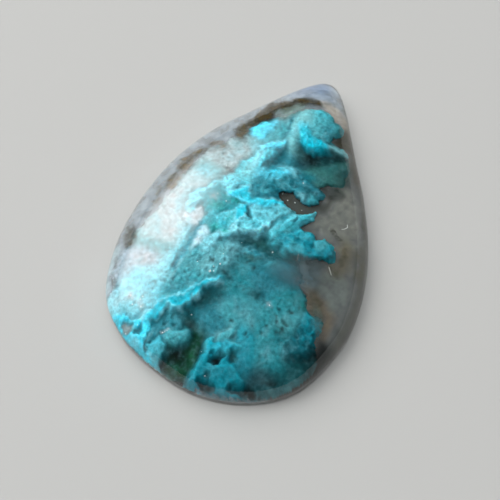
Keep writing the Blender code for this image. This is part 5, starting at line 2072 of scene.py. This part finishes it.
    def relief(self) -> tuple[np.ndarray, np.ndarray]:
        """Work out the height and colour of the upper side.

        Returns:
            The heights in mm, and the red, green, blue and crinkle of each point.
        """
        depths = self.mean - self.bed + self.bed_swell * self.noise.swells
        bed = Ground.plain(depths, P.ABYSS, crinkle=0.4, grain=0.6)
        ground = self._stacked(SOFT_FORMS, bed)
        for hollow in SOFT_HOLLOWS_AND_SHADE:
            self._sink(ground, hollow)
        ground = self._stacked(SHEETS, ground.melted(self.melt / self.spacing))
        ground = ground.melted(self.temper / self.spacing)
        ground.height = ground.height + self._wrinkles(ground)
        ground.trimmed()
        for stain in STAINS_AND_SHADE:
            self._stain(ground, stain)
        for stroke in STROKES:
            self._draw(ground, stroke)
        for hollow in CUT_HOLLOWS_AND_SHADE:
            self._sink(ground, hollow)
        for stain in HOLLOW_SHADE_AND_MOSS:
            self._stain(ground, stain)
        self._pit(ground)
        self.patina.lay(ground, self.noise, self.spacing)
        share = np.clip(self.shape.share(self.x, self.y) + self.roof_margin, 0, 1)
        pigment = np.concatenate([ground.colour, np.clip(ground.crinkle, 0, 1)[..., None]], axis=2)
        return (np.minimum(ground.height, self.shape.profile(share) - self.roof),
                blurred(pigment, self.softness / self.spacing))

    def _wrinkles(self, ground: Ground) -> np.ndarray:
        """Work out the fine folds and grain of a surface.

        Args:
            ground: the surface.

        Returns:
            The height that they add, in mm.
        """
        folds, creases = self.noise.folds - FOLD_MIDDLE, self.noise.creases - FOLD_MIDDLE
        return (ground.crinkle * (self.fold * folds + self.crease * creases)
                + ground.grain * self.grit * self.noise.grains)

    def _stacked(self, sheets: Sequence[Sheet], under: Ground) -> Ground:
        """Lay sheets over a ground; at each point the highest one shows.

        Args:
            sheets: the sheets.
            under: what they lie on.

        Returns:
            The surface that they make together.
        """
        grounds = [under] + [self._laid(sheet) for sheet in sheets]
        stack = np.stack([ground.height for ground in grounds])
        top = stack.max(axis=0)
        weights = np.exp((stack - top) / self.overlap)
        weights /= weights.sum(axis=0)
        return Ground(
            top,
            sum(weight[..., None] * ground.colour for weight, ground in zip(weights, grounds)),
            sum(weight * ground.crinkle for weight, ground in zip(weights, grounds)),
            sum(weight * ground.grain for weight, ground in zip(weights, grounds)),
            sum(weight[..., None] * ground.trim for weight, ground in zip(weights, grounds)),
        )

    def _laid(self, sheet: Sheet) -> Ground:
        """Shape one sheet.

        Args:
            sheet: the sheet.

        Returns:
            Its own surface, which drops away outside its outline.
        """
        LOG.debug("laying %s", sheet.name)
        depth, middle = self._depth(sheet.edge, sheet.lift, self.reach)
        lean = (self.x - middle[0]) * sheet.tilt[0] + (self.y - middle[1]) * sheet.tilt[1]
        within = np.maximum(depth, 0)
        drop = sheet.slope * np.maximum(-depth, 0) + self.edge_round * np.exp(-within / self.edge_round)
        lip = sheet.curl * np.exp(-((within - self.edge_round) / self.edge_round) ** 2)
        height = self.mean + sheet.lift + lean + self.swell * self.noise.swells - drop + lip
        ground = Ground.plain(height, sheet.body, sheet.crinkle, sheet.grain)
        # the pale lip along the sheet's edge is partly painted highlight
        if sheet.rim:
            whole = np.clip(self.rim_cover[0] + self.rim_cover[1] * self.noise.breaks, *self.rim_limits)
            width = self.rim_width * (self.rim_wobble[0] + self.rim_wobble[1] * self.noise.grains)
            cover = np.exp(-(within / width) ** 2) * whole
            ground.trim = cover[..., None] * np.array((*sheet.rim.value, 1.0))
        return ground

    def _stain(self, ground: Ground, stain: Stain) -> None:
        """Lay one oval stain over a surface.

        Args:
            ground: the surface.
            stain: the stain.
        """
        x, y = self._seen(ground)
        centre, half = drawn(stain.centre), drawn(stain.half)
        angle = math.radians(stain.turn)
        away_x, away_y = x - centre[0], y - centre[1]
        across = (away_x * math.cos(angle) + away_y * math.sin(angle)) / half[0]
        along = (away_y * math.cos(angle) - away_x * math.sin(angle)) / half[1]
        ground.tint(stain.tone, stain.strength * np.exp(-(across ** 2 + along ** 2)))

    def _draw(self, ground: Ground, stroke: Stroke) -> None:
        """Raise or sink one thin line and colour it.

        Args:
            ground: the surface.
            stroke: the line.
        """
        x, y = self._seen(ground)
        path = drawn(stroke.path)
        gaps = [gap_squared(x, y, start, end) for start, end in zip(path[:-1], path[1:])]
        nearest = np.minimum(np.min(gaps, axis=0), self.far ** 2)
        mark = np.exp(-nearest / (stroke.width * self.stroke_spread) ** 2)
        ground.height = ground.height + stroke.rise * mark
        ground.tint(stroke.tone, mark * stroke.strength)

    def _sink(self, ground: Ground, hollow: Hollow) -> None:
        """Cut one hollow into a surface and colour it.

        Args:
            ground: the surface.
            hollow: the hollow.
        """
        LOG.debug("sinking %s", hollow.name)
        depth, _ = self._depth(hollow.edge, -hollow.sink, self.wall_reach)
        wall = hollow.slope * np.maximum(-depth, 0)
        bottom = self.mean - hollow.sink + self.hollow_grit * self.noise.grains
        ground.height = np.minimum(ground.height, bottom + wall)
        ground.tint(hollow.tone, smooth_step(-hollow.feather, hollow.feather, depth))

    def _pit(self, ground: Ground) -> None:
        """Sink the small dark pits.

        Args:
            ground: the surface.
        """
        x, y = self._seen(ground)
        for pit in PITS:
            middle = drawn(pit.place)
            mark = np.exp(-((x - middle[0]) ** 2 + (y - middle[1]) ** 2) / pit.radius ** 2)
            ground.height = ground.height - pit.depth * mark
            ground.tint(P.PITCH, self.pit_cover * mark)

    def build(self) -> bpy.types.Object:
        """Mesh the relief over its underside.

        Returns:
            The growth.
        """
        top, pigment = self.relief()
        self.surface = top
        inside = depth_inside(self.shape.traced(GROWTH_EDGE), self.ragged_x, self.ragged_y)
        body = np.minimum(inside, self.shape.room(self.x, self.y) - self.clearance)
        within = np.maximum(body, 0)
        under = self.underside.under(top, within, self.x, self.y, self.spacing)
        top = np.minimum(top, under + self.edge_rise + self.slope * within)
        return self._mesh(top, under, pigment, (body > 0) & (top > under + self.thinnest))

    def height_at(self, x: float, y: float) -> float:
        """Read the relief's height, once it is built.

        Args:
            x: X in mm.
            y: Y in mm.

        Returns:
            The height at the grid's nearest point.
        """
        row = int(round((y - self.y[0, 0]) / self.spacing))
        column = int(round((x - self.x[0, 0]) / self.spacing))
        return float(self.surface[row, column])

    def _mesh(self, top: np.ndarray, under: np.ndarray, pigment: np.ndarray,
              keep: np.ndarray) -> bpy.types.Object:
        """Close the upper and lower sides into one mesh with its pigment on it.

        Args:
            top: the upper side's height.
            under: the lower side's.
            pigment: four values for each point.
            keep: which points are the growth's.

        Returns:
            The growth.
        """
        used, quads = grid_faces(keep)
        count = len(used)
        plan = [self.x.ravel()[used], self.y.ravel()[used]]
        sides = [np.stack([*plan, side.ravel()[used]], axis=1) for side in (top, under)]
        edges = np.concatenate([quads[:, [a, b]] for a, b in ((0, 1), (1, 2), (2, 3), (3, 0))])
        one_way = {(int(a), int(b)) for a, b in edges}
        border = sorted((a, b) for a, b in one_way if (b, a) not in one_way)
        faces = quads.tolist() + (quads[:, ::-1] + count).tolist()
        faces += [(b, a, count + a, count + b) for a, b in border]
        growth = finished_mesh("chrysocolla", np.concatenate(sides), faces, self.finish.material())
        paint(growth, "pigment", np.tile(pigment.reshape(-1, 4)[used], (2, 1)))
        return growth


@dataclass
class Veil:
    """A thin, patchy layer of clouds or clumps in the clear stone round the growth.

    Attributes:
        shape: the stone that it lies in.
        name: the piece's name.
        finish: its finish.
        wisps: what it is made of, from the lowest up.
        level: its height, as a share of the dome's.
        seed: picks how it is broken up.
        spacing: distance between the mesh's points.
        overlap: how far it reaches over the growth, in mm.
        clearance: least stone between it and the stone's edge.
        droop: share of its height that it loses where it meets the stone's edge.
        droop_width: how far from the edge that starts, in mm.
        ragging: how far its edges are pushed about, and the size of the pushes.
        mottles: seed's step, strength, size and octaves of each noise that breaks it up.
        patch: how whole a patchy wisp is and how much that varies.
        shading: how much its colour varies.
        ripple: how much its height varies, in mm.
        fade: how softly it ends at its edge, in mm.
        least_cover: where it ends.
    """

    shape: StoneShape
    name: str
    finish: CloudyMatter
    wisps: Sequence[Wisp]
    level: float = 0.6
    seed: int = 80
    spacing: float = 0.15
    overlap: float = 0.2
    clearance: float = 0.3
    droop: float = 0.0
    droop_width: float = 0.5
    ragging: Place = (0.25, 0.9)
    mottles: Sequence[tuple[int, float, float, int]] = ((8, 0.8, 0.8, 3), (12, 0.4, 0.32, 2))
    patch: Place = (0.5, 1.6)
    shading: float = 0.4
    ripple: float = 0.08
    fade: float = 0.16
    least_cover: float = 0.01

    def build(self) -> bpy.types.Object:
        """Lay the wisps over one another on a sheet that follows the dome.

        Returns:
            The layer.
        """
        shape = self.shape
        x, y = shape.grid(self.spacing)
        mottle = sum(strength * Ripple(self.seed + step, size).layered(x, y, octaves)
                     for step, strength, size, octaves in self.mottles)
        layer = self._matter(x, y, mottle)
        outside = -depth_inside(shape.traced(GROWTH_EDGE), x, y)
        room = shape.room(x, y) - self.clearance
        layer[..., 3] *= smooth_step(0, self.fade, room)
        keep = (layer[..., 3] > self.least_cover) & (room > 0) & (outside > -self.overlap)
        sag = 1 - self.droop * smooth_step(-self.droop_width, 0.0, -room)
        height = self.level * shape.dome(x, y) * sag + self.ripple * mottle
        used, quads = grid_faces(keep)
        vertices = np.stack([part.ravel()[used] for part in (x, y, height)], axis=1)
        veil = finished_mesh(self.name, vertices, quads.tolist(), self.finish.material())
        paint(veil, "layer", layer.reshape(-1, 4)[used])
        return veil

    def _matter(self, x: np.ndarray, y: np.ndarray, mottle: np.ndarray) -> np.ndarray:
        """Lay the wisps over one another.

        Args:
            x: the grid's X values.
            y: its Y values.
            mottle: the noise that breaks them up.

        Returns:
            The red, green, blue and cover of each point.
        """
        push, size = self.ragging
        ragged_x = x + push * Ripple(self.seed, size).layered(x, y, 3)
        ragged_y = y + push * Ripple(self.seed + 4, size).layered(x, y, 3)
        cover = np.zeros(x.shape)
        colour = np.zeros((*x.shape, 3))
        for wisp in self.wisps:
            depth = depth_inside(self.shape.traced(wisp.edge), ragged_x, ragged_y)
            share = wisp.cover * smooth_step(-wisp.feather, wisp.feather, depth)
            share *= np.clip(1 - wisp.patchy * (self.patch[0] - self.patch[1] * mottle), 0, 1)
            total = share + cover * (1 - share)
            kept = (cover * (1 - share) / np.maximum(total, TINY))[..., None]
            tone = np.array(wisp.tone) * (1 + self.shading * mottle[..., None])
            colour = colour * kept + tone * (1 - kept)
            cover = total
        return np.concatenate([colour, cover[..., None]], axis=2)


@dataclass
class QuartzGrains:
    """The small bright eight-faced grains that sit on the growth; their near-white colour is partly painted
    glint.

    Attributes:
        shape: the stone that they lie in.
        growth: what they sit on.
        finish: their finish.
        width: half a grain's width, as a share of its size.
        flatness: its height, as a share of its width.
        lift: how far it sits over the growth, as a share of its size.
        seed: picks how the grains are turned.
    """

    shape: StoneShape
    growth: Growth
    finish: PlainFinish = QUARTZ
    width: float = 0.6
    flatness: float = 0.7
    lift: float = 0.15
    seed: int = 5

    def build(self) -> bpy.types.Object:
        """Set a small tilted grain at each place.

        Returns:
            All the grains as one piece.
        """
        random = np.random.default_rng(self.seed)
        waist = ((1, 0, 0), (0, 1, 0), (-1, 0, 0), (0, -1, 0))
        corners = (*waist, (0, 0, self.flatness), (0, 0, -self.flatness))
        vertices, faces = [], []
        for glint in GLINTS:
            x, y = drawn(glint.place) + self.shape.shift
            middle = np.array((x, y, self.growth.height_at(x, y) + self.lift * glint.size))
            spin = Matrix.Rotation(random.uniform(0, math.pi), 3, Vector(random.normal(size=3)).normalized())
            start = len(vertices)
            for corner in corners:
                vertices.append(middle + np.array(spin @ Vector(corner)) * glint.size * self.width)
            for i in range(4):
                j = (i + 1) % 4
                faces += [(start + i, start + j, start + 4), (start + j, start + i, start + 5)]
        return finished_mesh("quartz_grains", np.array(vertices), faces, self.finish.material(), False)


@dataclass
class PaleThreads:
    """The hair-fine pale threads.

    Attributes:
        shape: the stone that they lie in.
        finish: their finish.
        radius: their radius, in mm.
        sides: how many sides they have.
        rows: rings of vertices for each point of their lines.
    """

    shape: StoneShape
    finish: PlainFinish = QUARTZ
    radius: float = 0.028
    sides: int = 6
    rows: int = 4

    def build(self) -> bpy.types.Object:
        """Run a thin tube along each line.

        Returns:
            All the threads as one piece.
        """
        vertices, faces = [], []
        for thread in THREADS:
            line = self._smooth(drawn(thread.path) + self.shape.shift)
            heights = thread.level * self.shape.dome(line[:, 0], line[:, 1])
            faces += ring_faces(len(line), self.sides, len(vertices))
            for (x, y), z in zip(line, heights):
                for side in range(self.sides):
                    angle = 2 * math.pi * side / self.sides
                    vertices.append((x + self.radius * math.cos(angle), y, z + self.radius * math.sin(angle)))
        return finished_mesh("pale_threads", np.array(vertices), faces, self.finish.material())

    def _smooth(self, points: np.ndarray) -> np.ndarray:
        """Return more points along an open line."""
        steps = np.linspace(0, len(points) - 1, self.rows * len(points))
        return np.stack([np.interp(steps, np.arange(len(points)), column) for column in points.T], axis=1)


@dataclass(frozen=True)
class Panel:
    """One soft lamp that faces the stone.

    Attributes:
        name: the lamp's name.
        bearing: degrees clockwise from +Y.
        elevation: degrees over the floor.
        distance: metres from the stone.
        size: width and height in metres.
        radiance: its brightness.
        tint: its colour.
        feather: share of its width and height over which its edges fade out.
        diffuse: whether it lights what is matt.
        glossy: whether it shows in what is polished.
    """

    name: str
    bearing: float
    elevation: float
    distance: float
    size: Place
    radiance: float
    tint: Colour
    feather: float = 0.0
    diffuse: bool = True
    glossy: bool = True


PANELS: tuple[Panel, ...] = (
    Panel("window pane", -80.0, 31.0, 0.9, (1.8, 1.1), 5.5, (1.0, 0.99, 0.97), 0.34, diffuse=False),
    Panel("window light", -80.0, 52.0, 0.9, (1.6, 0.9), 2.75, (1.0, 0.99, 0.97), 0.16, glossy=False),
    Panel("overhead fill", 40.0, 78.0, 1.2, (1.4, 1.4), 1.1, (0.97, 0.99, 1.0), glossy=False),
)


@dataclass
class Studio:
    """Floor, lights and camera.

    Attributes:
        bearing: camera bearing, degrees clockwise from +Y.
        elevation: camera elevation, degrees.
        field: field of view, degrees.
        distance: camera distance, mm.
        pan: sideways and upward offset of the camera, mm.
        nearest: nearest distance that the camera sees, in metres.
        floor_size: the floor's width, in metres.
        sky: strength of the even light from all round.
        sky_tint: its colour.
    """

    bearing: float = 156.684
    elevation: float = 67.0
    field: float = 26.0
    distance: float = 97.02
    pan: Place = (-0.748, -1.397)
    nearest: float = 0.01
    floor_size: float = 2.0
    sky: float = 0.12
    sky_tint: Colour = (0.95, 0.98, 1.0)

    def build(self, shift: np.ndarray) -> None:
        """Set up the whole studio.

        Args:
            shift: how far the stone's outline was moved to centre it, in mm.
        """
        self._camera(shift)
        self._floor()
        self._world()
        for panel in PANELS:
            self._hang(panel)
        bpy.context.scene.view_settings.view_transform = "Standard"

    def _camera(self, shift: np.ndarray) -> None:
        """Place the camera and make it the scene's.

        Args:
            shift: how far the stone's outline was moved to centre it, in mm.
        """
        back = heading(self.bearing, self.elevation)
        right = Vector((0, 0, 1)).cross(back).normalized()
        up = back.cross(right)
        data = bpy.data.cameras.new("camera")
        data.angle = math.radians(self.field)
        data.clip_start = self.nearest
        holder = bpy.data.objects.new("camera", data)
        place = (back * self.distance + right * self.pan[0] + up * self.pan[1] + Vector((*shift, 0))) * MM
        turn = Matrix((right, up, back)).transposed().to_4x4()
        holder.matrix_world = Matrix.Translation(place) @ turn
        bpy.context.scene.collection.objects.link(holder)
        bpy.context.scene.camera = holder

    def _hang(self, panel: Panel) -> None:
        """Hang one lamp.

        Args:
            panel: the lamp.
        """
        data = bpy.data.lights.new(panel.name, "AREA")
        data.shape = "RECTANGLE"
        data.size, data.size_y = panel.size
        data.color = panel.tint
        data.energy = panel.radiance * math.pi * panel.size[0] * panel.size[1]
        if panel.feather:
            self._feather(data, panel.feather)
        lamp = bpy.data.objects.new(panel.name, data)
        away = heading(panel.bearing, panel.elevation)
        lamp.location = away * panel.distance
        lamp.rotation_euler = away.to_track_quat("Z", "Y").to_euler()
        lamp.visible_diffuse = panel.diffuse
        lamp.visible_glossy = panel.glossy
        bpy.context.scene.collection.objects.link(lamp)

    def _feather(self, data: bpy.types.AreaLight, share: float) -> None:
        """Fade a lamp out towards its edges, as a curtained window does.

        Args:
            data: the lamp.
            share: share of its width and height over which it fades.
        """
        data.use_nodes = True
        bench = NodeBench(data.node_tree)
        emission = next(node for node in bench.tree.nodes if node.type == "EMISSION")
        axes = bench.node("ShaderNodeSeparateXYZ")
        bench.link(bench.node("ShaderNodeNewGeometry").outputs["Parametric"], axes.inputs[0])
        total = 1.0
        for axis in (0, 1):
            for start in (0.0, 1.0):
                source = (start, abs(start - share))
                faded = bench.ranged(axes.outputs[axis], source, (0.0, 1.0), "SMOOTHSTEP")
                total = bench.reckon("MULTIPLY", total, faded)
        bench.link(total, emission.inputs["Strength"])

    def _world(self) -> None:
        """Give the scene an even, weak sky."""
        sky = bpy.data.worlds.new("studio")
        sky.use_nodes = True
        background = sky.node_tree.nodes["Background"]
        background.inputs["Color"].default_value = (*self.sky_tint, 1)
        background.inputs["Strength"].default_value = self.sky
        sky.cycles_visibility.glossy = False
        bpy.context.scene.world = sky

    def _floor(self) -> None:
        """Lay the plain pale floor."""
        half = self.floor_size / 2 / MM
        corners = np.array(((-half, -half, 0), (half, -half, 0), (half, half, 0), (-half, half, 0)))
        finished_mesh("floor", corners, [(0, 1, 2, 3)], PALE_FLOOR.material(), False)


def place(piece: bpy.types.Object, slot: str, *replaced: str) -> None:
    """Tie a piece to the frame.

    Args:
        piece: the piece.
        slot: the record's material slot; not used.
        *replaced: the CAD nodes that it stands for.
    """
    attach(piece, "root")
    if replaced:
        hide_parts(*replaced)
    LOG.info("%s: %d faces", piece.name, len(piece.data.polygons))


def main() -> None:
    """Build the studio, then each piece of the stone."""
    logging.basicConfig(level=logging.INFO, format="%(name)s: %(message)s")
    shape = StoneShape()
    Studio().build(shape.shift)
    place(ClearStone(shape).build(), "chalcedony", "clear_crown", "clear_base")
    growth = Growth(shape)
    place(growth.build(), "chrysocolla", "chrysocolla_growth")
    place(QuartzGrains(shape, growth).build(), "chrysocolla")
    place(PaleThreads(shape).build(), "chalcedony")
    # the clouds and the haze carry painted shade in some dark wisps
    cloud = Veil(shape, "milky_cloud_and_shade", CloudyMatter("milky cloud and painted shade"), CLOUDS_AND_SHADE, clearance=0.1, droop=0.72)
    moss = Veil(shape, "iron_moss", CloudyMatter("olive iron moss"), CLUMPS, level=0.72, seed=95,
                spacing=0.11, overlap=1.2)
    haze = Veil(shape, "soft_haze_and_shade", CloudyMatter("soft haze and painted shade"), HAZE_AND_SHADE, level=0.88, seed=110, overlap=4.0)
    place(cloud.build(), "chalcedony")
    place(moss.build(), "iron_stain")
    place(haze.build(), "chalcedony")


if __name__ == "__main__":
    main()
